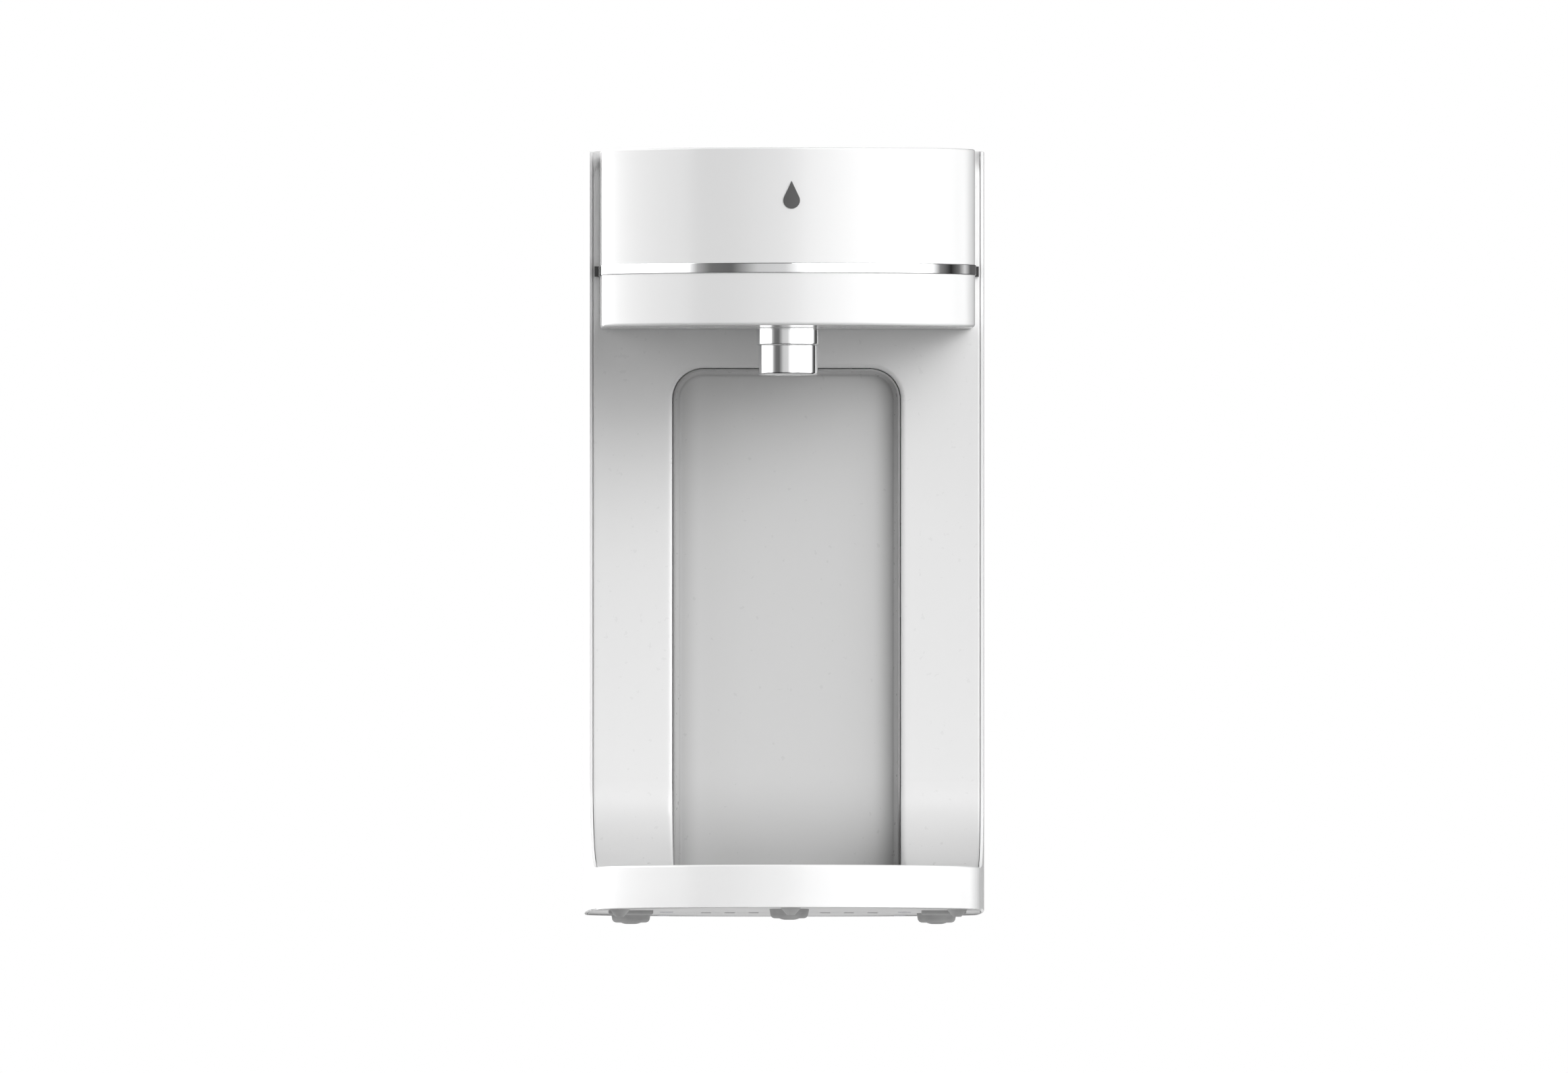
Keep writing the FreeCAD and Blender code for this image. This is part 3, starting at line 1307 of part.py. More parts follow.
def make_hoses():
    """Silicone hoses: dock to pump, pump to meter, meter to heater, heater to spout."""
    barb_z = D.bay_floor - 13.5
    pump_top = PUMP_Z + 15.0 + 4.0
    hose("suction_hose", [
        (0, D.dock_y - 9.0, barb_z), (0, 36.0, barb_z), (44.0, 30.0, barb_z + 3),
        (46.0, PUMP_Y - 8.0, barb_z + 14), (46.0, PUMP_Y - 8.0, pump_top + 30),
        (22.0, PUMP_Y - 8.0, pump_top + 30), (22.0, PUMP_Y - 8.0, pump_top)], 9.0)
    hose("pressure_hose", [
        (22.0, PUMP_Y + 8.0, pump_top), (22.0, PUMP_Y + 8.0, pump_top + 18),
        (FLOW_X, PUMP_Y, pump_top + 24), (FLOW_X, PUMP_Y, FLOW_Z - 16)], 9.0)
    hose("heater_hose", [
        (FLOW_X, PUMP_Y, FLOW_Z + 16), (FLOW_X, PUMP_Y, FLOW_Z + 44),
        (0, PUMP_Y, FLOW_Z + 44), (0, PUMP_Y, HEATER_Z - 38), (HEATER_X, PUMP_Y, HEATER_Z - 38),
        (HEATER_X, PUMP_Y, HEATER_Z - 12)], 11.0)
    head_z = D.ring_top + 8.0
    hose("outlet_hose", [
        (HEATER_X, PUMP_Y, HEATER_Z + 142), (HEATER_X, PUMP_Y, head_z),
        (HEATER_X, -50.0, head_z), (0, D.spout_y, head_z), (0, D.spout_y, D.head_bottom + 6.5)], 12.0)


def make_boards():
    """Main control board in the head and the power board beside the column."""
    z = D.head_bottom + 12.0
    parts = [
        box("main_board_sheet", (-80.0, -72.0, z), (-32.0, -34.0, z + 1.6)),
        box("relay", (-76.0, -68.0, z + 1), (-58.0, -53.0, z + 16.0)),
        rod("capacitor", (-45.0, -60.0, z + 1), 5.0, 14.0),
        box("controller_chip", (-74.0, -48.0, z + 1), (-62.0, -38.0, z + 3.4)),
        box("connector", (-52.0, -46.0, z + 1), (-38.0, -38.0, z + 9.0)),
    ]
    node("main_board", fused("main_board", *parts))
    board_y = number(D.bay_wall_y) - 4.0
    power_parts = [
        box("power_board_sheet", (34.0, board_y, 190.0), (88.0, board_y + 1.6, 290.0)),
        box("transformer", (40.0, board_y - 22.0, 200.0), (66.0, board_y + 1, 226.0)),
        rod("bulk_capacitor", (78.0, board_y - 7.0, 200.0), 7.5, 26.0),
        box("triac_heatsink", (42.0, board_y - 18.0, 244.0), (46.0, board_y + 1, 282.0)),
        box("power_relay", (54.0, board_y - 16.0, 250.0), (74.0, board_y + 1, 268.0)),
    ]
    power_parts += [rod(f"power_post_{i}", (x, board_y + 1, z_), 3.0, 3.0, "y")
                    for i, (x, z_) in enumerate(((38, 194), (84, 194), (38, 286), (84, 286)))]
    node("power_board", fused("power_board", *power_parts))


def make_rear_sockets():
    """Recessed plate low on the back with the mains inlet and the rocker switch."""
    y = SOCKET_PLATE_Y
    plate = box("rear_plate_sheet", (-SOCKET_HALF - 3, y, 9.0), (SOCKET_HALF + 3, y + 2, 37.7))
    x, z, half_x, half_z = INLET
    inlet_hole = box("inlet_hole", (x - half_x - 0.2, y - 1, z - half_z - 0.2),
                     (x + half_x + 0.2, y + 3, z + half_z + 0.2))
    sx, sz, s_half_x, s_half_z = SWITCH
    switch_hole = box("switch_hole", (sx - s_half_x - 0.2, y - 1, sz - s_half_z - 0.2),
                      (sx + s_half_x + 0.2, y + 3, sz + s_half_z + 0.2))
    node("rear_plate", cut("rear_plate", plate, inlet_hole, switch_hole))
    body = box("inlet_body", (x - half_x, y - 22, z - half_z), (x + half_x, y + 2, z + half_z))
    flange = box("inlet_flange", (x - half_x - 2, y + 2, z - half_z - 1),
                 (x + half_x + 2, y + 4, z + half_z + 1))
    cavity = box("inlet_cavity", (x - 12.2, y - 14, z - 8.2), (x + 12.2, y + 5, z + 8.2))
    node("power_inlet", cut("power_inlet", fused("inlet_solid", body, flange), cavity))
    pins = [box(f"inlet_pin_{i}", (x + dx - 1.0, y - 14, z + dz - 2.0), (x + dx + 1.0, y + 2, z + dz + 2.0))
            for i, (dx, dz) in enumerate(((-7.0, 0), (0, 2.5), (7.0, 0)))]
    node("inlet_pins", group("inlet_pins", pins))
    frame = box("switch_body", (sx - s_half_x, y - 14, sz - s_half_z), (sx + s_half_x, y + 2, sz + s_half_z))
    rim = box("switch_rim", (sx - s_half_x - 2, y + 2, sz - s_half_z - 1.5),
              (sx + s_half_x + 2, y + 4, sz + s_half_z + 1.5))
    well = box("switch_well", (sx - 8.6, y - 6, sz - 5.6), (sx + 8.6, y + 5, sz + 5.6))
    pivot_hole = rod("switch_pivot_hole", (sx, y, sz - 6.4), 1.2 + D.running, 12.8)
    node("switch_frame", cut("switch_frame", fused("switch_solid", frame, rim), well, pivot_hole))
    paddle = new_body("rocker_paddle")
    profile = [(-7.4, -2.5), (7.4, -2.5), (7.4, 0.8), (0, 2.6), (-7.4, 4.2)]
    sketch = new_sketch(paddle, "paddle_profile", "XY_Plane", -5.2)
    outline(sketch, profile)
    pad = paddle.newObject("PartDesign::Pad", "paddle_pad")
    pad.Profile = sketch
    pad.Length = 10.4
    bind(paddle, x=sx, y=y, z=sz)
    pivot = rod("rocker_pivot", (sx, y, sz - 6.2), 1.2, 12.4)
    node("rocker", fused("rocker", paddle, pivot))


def make_inner_fixings():
    """Screws that hold the tank bay to the column and the boards in place."""
    screws = []
    for i, (x, z) in enumerate(((-90.0, 60.0), (90.0, 60.0), (-90.0, 320.0), (90.0, 320.0))):
        head = rod(f"bay_screw_head_{i}", (x, D.bay_wall_y - 2.2, z), 3.2, 2.2, "y")
        drive = rod(f"bay_screw_drive_{i}", (x, D.bay_wall_y - 2.3, z), 1.3, 1.2, "y")
        screws.append(cut(f"bay_screw_{i}", head, drive))
    node("bay_screws", group("bay_screws", screws))


# ---------------------------------------------------------------- build, check, write
def make_all():
    inside = make_inside_block()
    make_shell()
    make_front_panel(inside)
    make_recess_panel()
    make_base_plate(inside)
    make_feet()
    make_locating_cones()
    make_drain_caps()
    make_base_screws()
    make_drip_tray()
    make_drip_grille()
    make_head_upper()
    make_ring()
    make_head_lower()
    make_deck()
    make_buttons()
    make_display_board()
    make_emblem()
    make_spout()
    make_tank_bay(inside)
    make_dock()
    make_tank()
    make_lid()
    make_valve()
    make_filter()
    make_float()
    make_pump()
    make_flow_meter()
    make_heater()
    make_hoses()
    make_boards()
    make_rear_sockets()
    make_inner_fixings()


def check_document():
    """Every object has to recompute, and every piece has to be whole."""
    document.recompute()
    failed = [o.Name for o in document.Objects if {"Invalid", "Error"} & set(o.State)]
    failed += [name for name, piece in NODES.items()
               if piece.Shape.isNull() or not piece.Shape.isValid() or not piece.Shape.Solids]
    if failed:
        raise RuntimeError(f"not built: {failed}")


def write_nodes():
    os.makedirs("parts", exist_ok=True)
    for name, piece in NODES.items():
        piece.Shape.exportStep(os.path.join("parts", f"{name}.step"))


make_all()
check_document()
write_nodes()
print(f"{len(NODES)} nodes written")
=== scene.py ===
"""Looks of the countertop water dispenser: materials, small details, studio and camera.

Metres, in the frame of the CAD model. Detail pieces take their places from the CAD nodes.
"""

import json
import math

import bmesh
import bpy
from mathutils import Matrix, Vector


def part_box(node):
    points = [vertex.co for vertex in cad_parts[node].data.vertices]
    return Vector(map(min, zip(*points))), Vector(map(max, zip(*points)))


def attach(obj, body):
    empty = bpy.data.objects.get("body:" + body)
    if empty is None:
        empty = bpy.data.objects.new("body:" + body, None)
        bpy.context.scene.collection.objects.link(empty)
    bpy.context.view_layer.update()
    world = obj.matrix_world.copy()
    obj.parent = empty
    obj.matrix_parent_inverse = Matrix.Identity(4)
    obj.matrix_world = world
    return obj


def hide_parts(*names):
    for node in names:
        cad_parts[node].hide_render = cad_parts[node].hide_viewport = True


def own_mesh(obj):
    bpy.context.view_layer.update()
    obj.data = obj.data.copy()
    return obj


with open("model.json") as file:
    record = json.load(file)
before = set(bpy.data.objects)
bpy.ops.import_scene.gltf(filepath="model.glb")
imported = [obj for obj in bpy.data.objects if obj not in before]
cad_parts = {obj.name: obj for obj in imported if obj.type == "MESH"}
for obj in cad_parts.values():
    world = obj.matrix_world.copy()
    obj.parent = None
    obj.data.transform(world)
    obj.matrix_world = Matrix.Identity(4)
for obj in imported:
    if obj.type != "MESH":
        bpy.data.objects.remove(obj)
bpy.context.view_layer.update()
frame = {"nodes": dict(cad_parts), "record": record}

MM = 0.001

# ---------------------------------------------------------------- camera and light
# Angles in degrees, lengths in metres. The camera is orthographic.
VIEW_AZIMUTH = -0.97
VIEW_ELEVATION = -0.75
VIEW_TARGET = Vector((-0.0008, 0.0, 0.1946))
VIEW_WIDTH = 0.79
VIEW_DISTANCE = 4.0

# Light levels round the object, as (degrees to the right of the front, level).
# The horizon stands level with the object and shows in its polished faces.
HORIZON = [
    (-180, 0.40),
    (-179, 1.80),
    (-67, 1.80),
    (-64, 1.00),
    (-59, 0.43),
    (-50, 0.17),
    (-36, 0.14),
    (-27, 0.40),
    (-20, 0.64),
    (-3, 0.72),
    (6, 1.20),
    (10, 2.00),
    (97, 2.00),
    (100, 1.20),
    (107, 0.25),
    (119, 0.02),
    (130, 0.18),
    (139, 0.70),
    (150, 0.12),
    (170, 0.12),
    (178, 0.35),
    (180, 0.40),
]
# The softboxes stand above and below that band, and light the object.
SOFTBOXES = [
    (-180, 0.30),
    (-177, 1.80),
    (-140, 1.80),
    (-122, 3.75),
    (-70, 3.75),
    (-62, 0.15),
    (0, 0.15),
    (8, 3.45),
    (98, 3.45),
    (106, 0.10),
    (175, 0.10),
    (180, 0.30),
]
# The softboxes' strength over the height, as (sine of the elevation, factor).
HEIGHTS = [
    (-1.0, 0.3),
    (0.0, 0.3),
    (0.06, 0.5),
    (0.2, 1.0),
    (0.3, 1.5),
    (0.45, 1.4),
    (0.6, 0.5),
    (1.0, 0.0),
]
# The curves hold values from 0 to 1, so levels and factors are divided by this and multiplied back.
BRIGHTEST = 4.0
# Sine of the elevation that the horizon reaches, up and down; it fades over as much again.
HORIZON_BAND = 0.06

# The floor is a round table. It glows below the object, and the glow fades over its outer fifth.
FLOOR_RADIUS = 0.45
FLOOR_GREY = 0.45
FLOOR_GLOW = 0.6
GLOW_HALF_SIZE = (0.115, 0.20)
GLOW_FADE = 0.2


# ---------------------------------------------------------------- shader helpers
def grey(value):
    return (value, value, value, 1.0)


def toned(colour, factor):
    """The same colour, lighter or darker."""
    return tuple(min(1.0, channel * factor) for channel in colour[:3]) + (1.0,)


class NodeTree:
    """A node tree, with short ways to add a node and to join two."""

    def __init__(self, tree):
        self.tree = tree

    def add(self, kind, **settings):
        node = self.tree.nodes.new(kind)
        for name, value in settings.items():
            setattr(node, name, value)
        return node

    def link(self, output, node, socket):
        self.tree.links.new(output, node.inputs[socket])

    def size_of(self, value):
        """A value without its sign."""
        positive = self.add("ShaderNodeMath", operation="ABSOLUTE")
        self.link(value, positive, 0)
        return positive.outputs[0]

    def stretched(self, value, start, end, low=0.0, high=1.0, curve="LINEAR"):
        """Goes from low to high while a value goes from start to end."""
        ranged = self.add("ShaderNodeMapRange", interpolation_type=curve)
        ranged.inputs["From Min"].default_value = start
        ranged.inputs["From Max"].default_value = end
        ranged.inputs["To Min"].default_value = low
        ranged.inputs["To Max"].default_value = high
        self.link(value, ranged, "Value")
        return ranged.outputs["Result"]


class Finish(NodeTree):
    """A Principled material, with methods that add its surface detail."""

    def __init__(self, name, colour, roughness, **sockets):
        self.material = bpy.data.materials.new(name)
        self.material.use_nodes = True
        super().__init__(self.material.node_tree)
        self.shader = self.tree.nodes["Principled BSDF"]
        self.shader.inputs["Base Color"].default_value = colour
        self.shader.inputs["Roughness"].default_value = roughness
        for socket, value in sockets.items():
            self.shader.inputs[socket.replace("_", " ")].default_value = value
        self.place = self.add("ShaderNodeTexCoord").outputs["Object"]
        self.normal = None

    def noise(self, size, detail=3.0, stretch=(1, 1, 1)):
        """Soft random pattern; size is the width of its features in metres."""
        mapping = self.add("ShaderNodeMapping")
        mapping.inputs["Scale"].default_value = stretch
        self.link(self.place, mapping, "Vector")
        noise = self.add("ShaderNodeTexNoise")
        noise.inputs["Scale"].default_value = 1 / size
        noise.inputs["Detail"].default_value = detail
        self.link(mapping.outputs["Vector"], noise, "Vector")
        return noise.outputs["Fac"]

    def grains(self, size):
        """Cells, such as a spark-eroded or moulded stipple."""
        cells = self.add("ShaderNodeTexVoronoi")
        cells.inputs["Scale"].default_value = 1 / size
        self.link(self.place, cells, "Vector")
        return cells.outputs["Distance"]

    def span(self, pattern, low, high):
        """Stretches the middle of a 0 to 1 pattern over low to high."""
        return self.stretched(pattern, 0.25, 0.75, low, high)

    def roughness(self, pattern, low, high):
        self.link(self.span(pattern, low, high), self.shader, "Roughness")

    def mixed(self, factor, first, second):
        """From the first colour at 0 to the second at 1; a colour may be a node's output."""
        mix = self.add("ShaderNodeMix", data_type="RGBA")
        for socket, colour in (("A", first), ("B", second)):
            if isinstance(colour, tuple):
                mix.inputs[socket].default_value = colour
            else:
                self.link(colour, mix, socket)
        self.link(factor, mix, "Factor")
        return mix.outputs["Result"]

    def base(self, colour):
        self.link(colour, self.shader, "Base Color")

    def colours(self, pattern, first, second):
        """Base colour that wanders between two colours."""
        self.base(self.mixed(self.span(pattern, 0.0, 1.0), first, second))

    def bump(self, height, depth, strength=1.0):
        """Relief of a depth in metres, laid over what is there already."""
        bump = self.add("ShaderNodeBump")
        bump.inputs["Strength"].default_value = strength
        bump.inputs["Distance"].default_value = depth
        self.link(height, bump, "Height")
        if self.normal is not None:
            self.link(self.normal, bump, "Normal")
        self.normal = bump.outputs["Normal"]
        self.link(self.normal, self.shader, "Normal")

    def soft_edges(self, radius):
        """Catches light along the edges as a moulded radius does."""
        bevel = self.add("ShaderNodeBevel", samples=4)
        bevel.inputs["Radius"].default_value = radius
        self.normal = bevel.outputs["Normal"]
        self.link(self.normal, self.shader, "Normal")

    def coordinate(self, axis):
        """One coordinate of the place on the object, in metres."""
        split = self.add("ShaderNodeSeparateXYZ")
        self.link(self.place, split, "Vector")
        return split.outputs[axis]

    def fade(self, value, start, end, first, second):
        """From the first colour to the second, smoothly, while a value goes from start to end."""
        return self.mixed(self.stretched(value, start, end, curve="SMOOTHSTEP"), first, second)


# ---------------------------------------------------------------- materials
# The cup space's white has painted shade: greyer at the foot, where the head keeps light off it,
# and beside the walls of the recess, which shade it.
FOOT_PAINTED_SHADE = 0.68
FOOT_PAINTED_SHADE_LOW = 22 * MM
FOOT_PAINTED_SHADE_HIGH = 78 * MM
WALL_PAINTED_SHADE = 0.66
WALL_SHADE = 14 * MM
RECESS_HALF_WIDTH = 57 * MM

# The chrome ring is plated up to here on each side; its turned-out ends are painted black, as
# painted shade for ends that sit in shadow.
RING_PLATED_HALF_WIDTH = 94.55 * MM

# From the back of a circuit board to just past its face: 1.6 mm of sheet, and on the power board
# 2.4 mm of posts behind it.
BOARD_FACE = 1.65 * MM
POWER_BOARD_FACE = 4.05 * MM


def white_gloss(name, tone=0.84, shine=(0.10, 0.17)):
    """Polished white ABS: faint flow waves and a slight orange peel in the gloss."""
    finish = Finish(name, grey(tone), shine[0], IOR=1.5)
    finish.soft_edges(0.45 * MM)
    cooler = (tone * 0.985, tone * 0.987, tone * 0.99, 1)
    finish.colours(finish.noise(0.09), grey(tone), cooler)
    finish.roughness(finish.noise(0.02), *shine)
    finish.bump(finish.noise(0.03, detail=1.0), 0.02 * MM, 0.3)
    finish.bump(finish.noise(0.0016), 0.004 * MM, 0.4)
    return finish.material


def satin_white_painted_shade(name, tone, edge, half_width=None):
    """The cup space's satin white with painted shade: greyer at the foot, and beside side walls at
    a half width.
    """
    finish = Finish(name, grey(tone), 0.28, IOR=1.5)
    finish.soft_edges(edge)
    height = finish.coordinate("Z")
    # Painted shade: the white darkens towards the foot, where the head keeps light off it.
    foot = grey(tone * FOOT_PAINTED_SHADE)
    colour = finish.fade(height, FOOT_PAINTED_SHADE_HIGH, FOOT_PAINTED_SHADE_LOW, grey(tone), foot)
    # Painted shade beside the recess's side walls, where the walls keep light off.
    if half_width:
        aside = finish.size_of(finish.coordinate("X"))
        inner = half_width - WALL_SHADE
        shade = finish.fade(aside, inner, half_width, grey(1.0), grey(WALL_PAINTED_SHADE))
        shaded = finish.add("ShaderNodeMix", data_type="RGBA", blend_type="MULTIPLY")
        shaded.inputs["Factor"].default_value = 1.0
        finish.link(colour, shaded, "A")
        finish.link(shade, shaded, "B")
        colour = shaded.outputs["Result"]
    finish.base(colour)
    finish.roughness(finish.noise(0.004), 0.27, 0.30)
    finish.bump(finish.noise(0.0016), 0.003 * MM, 0.3)
    return finish.material


def moulded(name, colour, roughness, depth=0.02 * MM):
    """Textured moulding: fine spark-eroded grain, uneven sheen and tone."""
    finish = Finish(name, colour, roughness)
    finish.soft_edges(0.3 * MM)
    finish.colours(finish.noise(0.035), colour, toned(colour, 0.93))
    finish.roughness(finish.noise(0.012), roughness - 0.08, roughness + 0.08)
    finish.bump(finish.grains(0.0006), depth, 0.5)
    return finish.material


def rubber(name, colour):
    """Matt rubber with a coarse skin and dust in its tone."""
    finish = Finish(name, colour, 0.75)
    finish.soft_edges(0.3 * MM)
    finish.colours(finish.noise(0.006, detail=6.0), colour, toned(colour, 1.25))
    finish.roughness(finish.noise(0.004), 0.62, 0.85)
    finish.bump(finish.noise(0.0009, detail=5.0), 0.05 * MM, 0.6)
    return finish.material


def silicone(name):
    """Milky silicone: light goes a little way in."""
    cream = (0.83, 0.83, 0.80, 1)
    finish = Finish(name, cream, 0.38, Subsurface_Weight=0.35, Subsurface_Scale=2 * MM)
    finish.roughness(finish.noise(0.008), 0.30, 0.48)
    finish.bump(finish.noise(0.002), 0.02 * MM, 0.5)
    return finish.material


def chrome(name, edge, plated_half_width=None):
    """Plated metal: nearly a mirror, with faint waves; painted black beyond a half width, as
    painted shade.
    """
    plating = (0.90, 0.90, 0.905, 1)
    finish = Finish(name, plating, 0.04, Metallic=1.0)
    finish.soft_edges(edge)
    finish.roughness(finish.noise(0.006), 0.03, 0.07)
    finish.bump(finish.noise(0.02, detail=1.0), 0.006 * MM, 0.3)
    colour = finish.mixed(finish.noise(0.02), plating, (0.86, 0.865, 0.87, 1))
    # Painted shade: beyond the half width the metal turns black and not metallic, for ends in
    # shadow.
    if plated_half_width:
        plated = finish.add("ShaderNodeMath", operation="LESS_THAN")
        plated.inputs[1].default_value = plated_half_width
        finish.link(finish.size_of(finish.coordinate("X")), plated, 0)
        finish.link(plated.outputs[0], finish.shader, "Metallic")
        colour = finish.mixed(plated.outputs[0], grey(0.02), colour)
    finish.base(colour)
    return finish.material


def brushed(name, colour, along="Z", roughness=0.32):
    """Metal with fine scratches along one axis."""
    finish = Finish(name, colour, roughness, Metallic=1.0)
    finish.soft_edges(0.2 * MM)
    stretch = tuple(0.04 if axis == along else 1.0 for axis in "XYZ")
    scratches = finish.noise(0.0007, detail=4.0, stretch=stretch)
    finish.colours(scratches, colour, toned(colour, 0.82))
    finish.roughness(scratches, roughness - 0.1, roughness + 0.12)
    finish.bump(scratches, 0.01 * MM, 0.5)
    return finish.material


def clear_plastic(name):
    """Injection-moulded clear copolyester with a cool tint and flow waves."""
    finish = Finish(name, (0.86, 0.93, 0.97, 1), 0.03, Transmission_Weight=0.92, IOR=1.56)
    finish.roughness(finish.noise(0.03), 0.02, 0.06)
    finish.bump(finish.noise(0.04, detail=1.0), 0.05 * MM, 0.4)
    return finish.material


def dark_glass(name):
    """Smoked display cover: black, polished, with the faintest wipe marks."""
    finish = Finish(name, (0.012, 0.012, 0.014, 1), 0.05, Coat_Weight=0.6)
    finish.roughness(finish.noise(0.015, stretch=(1, 0.25, 1)), 0.04, 0.12)
    finish.bump(finish.noise(0.02, detail=1.0), 0.01 * MM, 0.3)
    return finish.material


def board(name, axis, level, side):
    """Green solder mask with copper tracks; what stands off the sheet is dark moulding.

    The sheet's face lies at a level on an axis, and the components are on its side 1 or -1.
    """
    finish = Finish(name, (0.02, 0.16, 0.06, 1), 0.35)
    tracks = finish.add("ShaderNodeTexBrick")
    tracks.inputs["Scale"].default_value = 1 / 0.02
    tracks.inputs["Color1"].default_value = (0.015, 0.14, 0.05, 1)
    tracks.inputs["Color2"].default_value = (0.02, 0.17, 0.065, 1)
    tracks.inputs["Mortar"].default_value = (0.10, 0.33, 0.10, 1)
    tracks.inputs["Mortar Size"].default_value = 0.03
    finish.link(finish.place, tracks, "Vector")
    band = side * 0.05 * MM
    off_sheet = finish.stretched(finish.coordinate(axis), level - band, level + band)
    finish.base(finish.mixed(off_sheet, tracks.outputs["Color"], (0.03, 0.03, 0.033, 1)))
    finish.roughness(finish.noise(0.004), 0.28, 0.5)
    finish.bump(tracks.outputs["Fac"], 0.03 * MM, 0.6)
    return finish.material


def iron(name):
    """Laminated armature: thin sheet edges across the shaft."""
    finish = Finish(name, (0.22, 0.21, 0.21, 1), 0.45, Metallic=1.0)
    sheets = finish.add("ShaderNodeTexWave", bands_direction="X")
    sheets.inputs["Scale"].default_value = 1 / 0.004
    finish.link(finish.place, sheets, "Vector")
    blued, oiled = (0.26, 0.25, 0.24, 1), (0.15, 0.13, 0.12, 1)
    finish.colours(finish.noise(0.003, detail=6.0), blued, oiled)
    finish.bump(sheets.outputs["Fac"], 0.05 * MM, 0.6)
    return finish.material


def glow(name, colour, strength):
    """Lit segment of the display."""
    finish = Finish(name, colour, 0.4, Emission_Color=colour, Emission_Strength=strength)
    finish.colours(finish.noise(0.002), colour, toned(colour, 0.85))
    return finish.material


def make_finishes():
    """A material for each slot of the record, and for each node that has its own."""
    steel = (0.58, 0.58, 0.60, 1)
    main_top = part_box("main_board")[0].z + BOARD_FACE
    display_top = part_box("display_board")[0].z + BOARD_FACE
    power_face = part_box("power_board")[1].y - POWER_BOARD_FACE
    return {
        "white_shell": white_gloss("white_gloss"),
        # The column and the recess have darker tones than the shell's white: painted shade for the
        # cup space, darkest in the recess.
        "front_panel": satin_white_painted_shade("column_satin_painted_shade", 0.77, 2.0 * MM),
        "recess_panel": satin_white_painted_shade("recess_satin_painted_shade", 0.60, 3.0 * MM, RECESS_HALF_WIDTH),
        "deck_gloss": white_gloss("deck_white", tone=0.80, shine=(0.06, 0.12)),
        "button_white": white_gloss("button_satin", tone=0.74, shine=(0.26, 0.36)),
        "grey_plastic": moulded("grey_moulding", grey(0.60), 0.5),
        "grey_plug": moulded("grey_plug", grey(0.42), 0.55),
        "grille_plastic": moulded("grille_moulding", grey(0.62), 0.38, 0.01 * MM),
        "aerator_plastic": moulded("aerator_moulding", grey(0.70), 0.4, 0.01 * MM),
        "valve_plastic": moulded("valve_moulding", grey(0.78), 0.35, 0.01 * MM),
        "float_plastic": moulded("float_moulding", (0.75, 0.20, 0.05, 1), 0.4),
        "filter_plastic": moulded("filter_moulding", (0.10, 0.22, 0.42, 1), 0.42),
        "black_plastic": moulded("black_moulding", grey(0.018), 0.48, 0.03 * MM),
        "rocker_black": moulded("rocker_gloss", grey(0.012), 0.22, 0.005 * MM),
        "emblem_grey": moulded("emblem_print", grey(0.09), 0.35, 0.004 * MM),
        "grey_rubber": rubber("foot_rubber", grey(0.30)),
        "black_rubber": rubber("mount_rubber", grey(0.02)),
        "silicone": silicone("milky_silicone"),
        "chrome": chrome("plated_chrome", 0.7 * MM),
        "chrome_ring": chrome("plated_ring", 0.25 * MM, RING_PLATED_HALF_WIDTH),
        "screw_steel": brushed("screw_steel", steel, along="X"),
        "spring_steel": brushed("spring_steel", steel, along="Z", roughness=0.25),
        "motor_steel": brushed("motor_steel", (0.50, 0.50, 0.51, 1), along="X"),
        "heater_steel": brushed("heater_steel", (0.62, 0.61, 0.59, 1), along="Z"),
        "brass_fitting": brushed("brass_fitting", (0.78, 0.57, 0.24, 1), along="Y", roughness=0.28),
        "rotor_iron": iron("rotor_iron"),
        "tank_clear": clear_plastic("tank_clear"),
        "display_glass": dark_glass("display_cover"),
        "circuit_board": board("main_board_mask", "Z", main_top, 1),
        "display_board": board("display_board_mask", "Z", display_top, 1),
        "power_board": board("power_board_mask", "Y", power_face, -1),
        "light_blue": glow("segment_light", (0.35, 0.75, 1.0, 1), 2.5),
        "print_grey": moulded("icon_print", grey(0.10), 0.4, 0.004 * MM),
    }


def paint_nodes(finishes):
    """Gives every CAD node its own material where it has one, or else that of its slot."""
    for part in frame["record"]["subparts"]:
        node, slot = part["node"], part["material_slot"]
        mesh = frame["nodes"][node].data
        mesh.materials.clear()
        mesh.materials.append(finishes[node if node in finishes else slot])


# ---------------------------------------------------------------- detail pieces
def new_piece(name, mesh, material, body):
    """Puts a piece in the scene, with its material, on its CAD body."""
    piece = bpy.data.objects.new(name, mesh)
    bpy.context.scene.collection.objects.link(piece)
    mesh.materials.append(material)
    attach(piece, body)
    return piece


def flat_mesh(name, outlines, low, thick):
    """Thin plates from outlines in plan."""
    shape = bmesh.new()
    for outline in outlines:
        face = shape.faces.new([shape.verts.new((x, y, low)) for x, y in outline])
        if face.normal.z < 0:
            face.normal_flip()
    extruded = bmesh.ops.extrude_face_region(shape, geom=shape.faces[:])
    top = [v for v in extruded["geom"] if isinstance(v, bmesh.types.BMVert)]
    bmesh.ops.translate(shape, verts=top, vec=(0, 0, thick))
    bmesh.ops.recalc_face_normals(shape, faces=shape.faces[:])
    mesh = bpy.data.meshes.new(name)
    shape.to_mesh(mesh)
    shape.free()
    return mesh


def arc(x, y, radius, start, end, steps=16):
    """Points along an arc, in degrees."""
    angles = [math.radians(start + (end - start) * i / steps) for i in range(steps + 1)]
    return [(x + radius * math.cos(a), y + radius * math.sin(a)) for a in angles]


def bar(x, y, half_x, half_y):
    """A rectangle round its middle."""
    corners = ((-1, -1), (1, -1), (1, 1), (-1, 1))
    return [(x + right * half_x, y + up * half_y) for right, up in corners]


def drop_outline(x, y, size):
    """A water drop, point to the back."""
    radius = 0.42 * size
    return arc(x, y - 0.1 * size, radius, 155, 385) + [(x, y + 0.9 * size)]


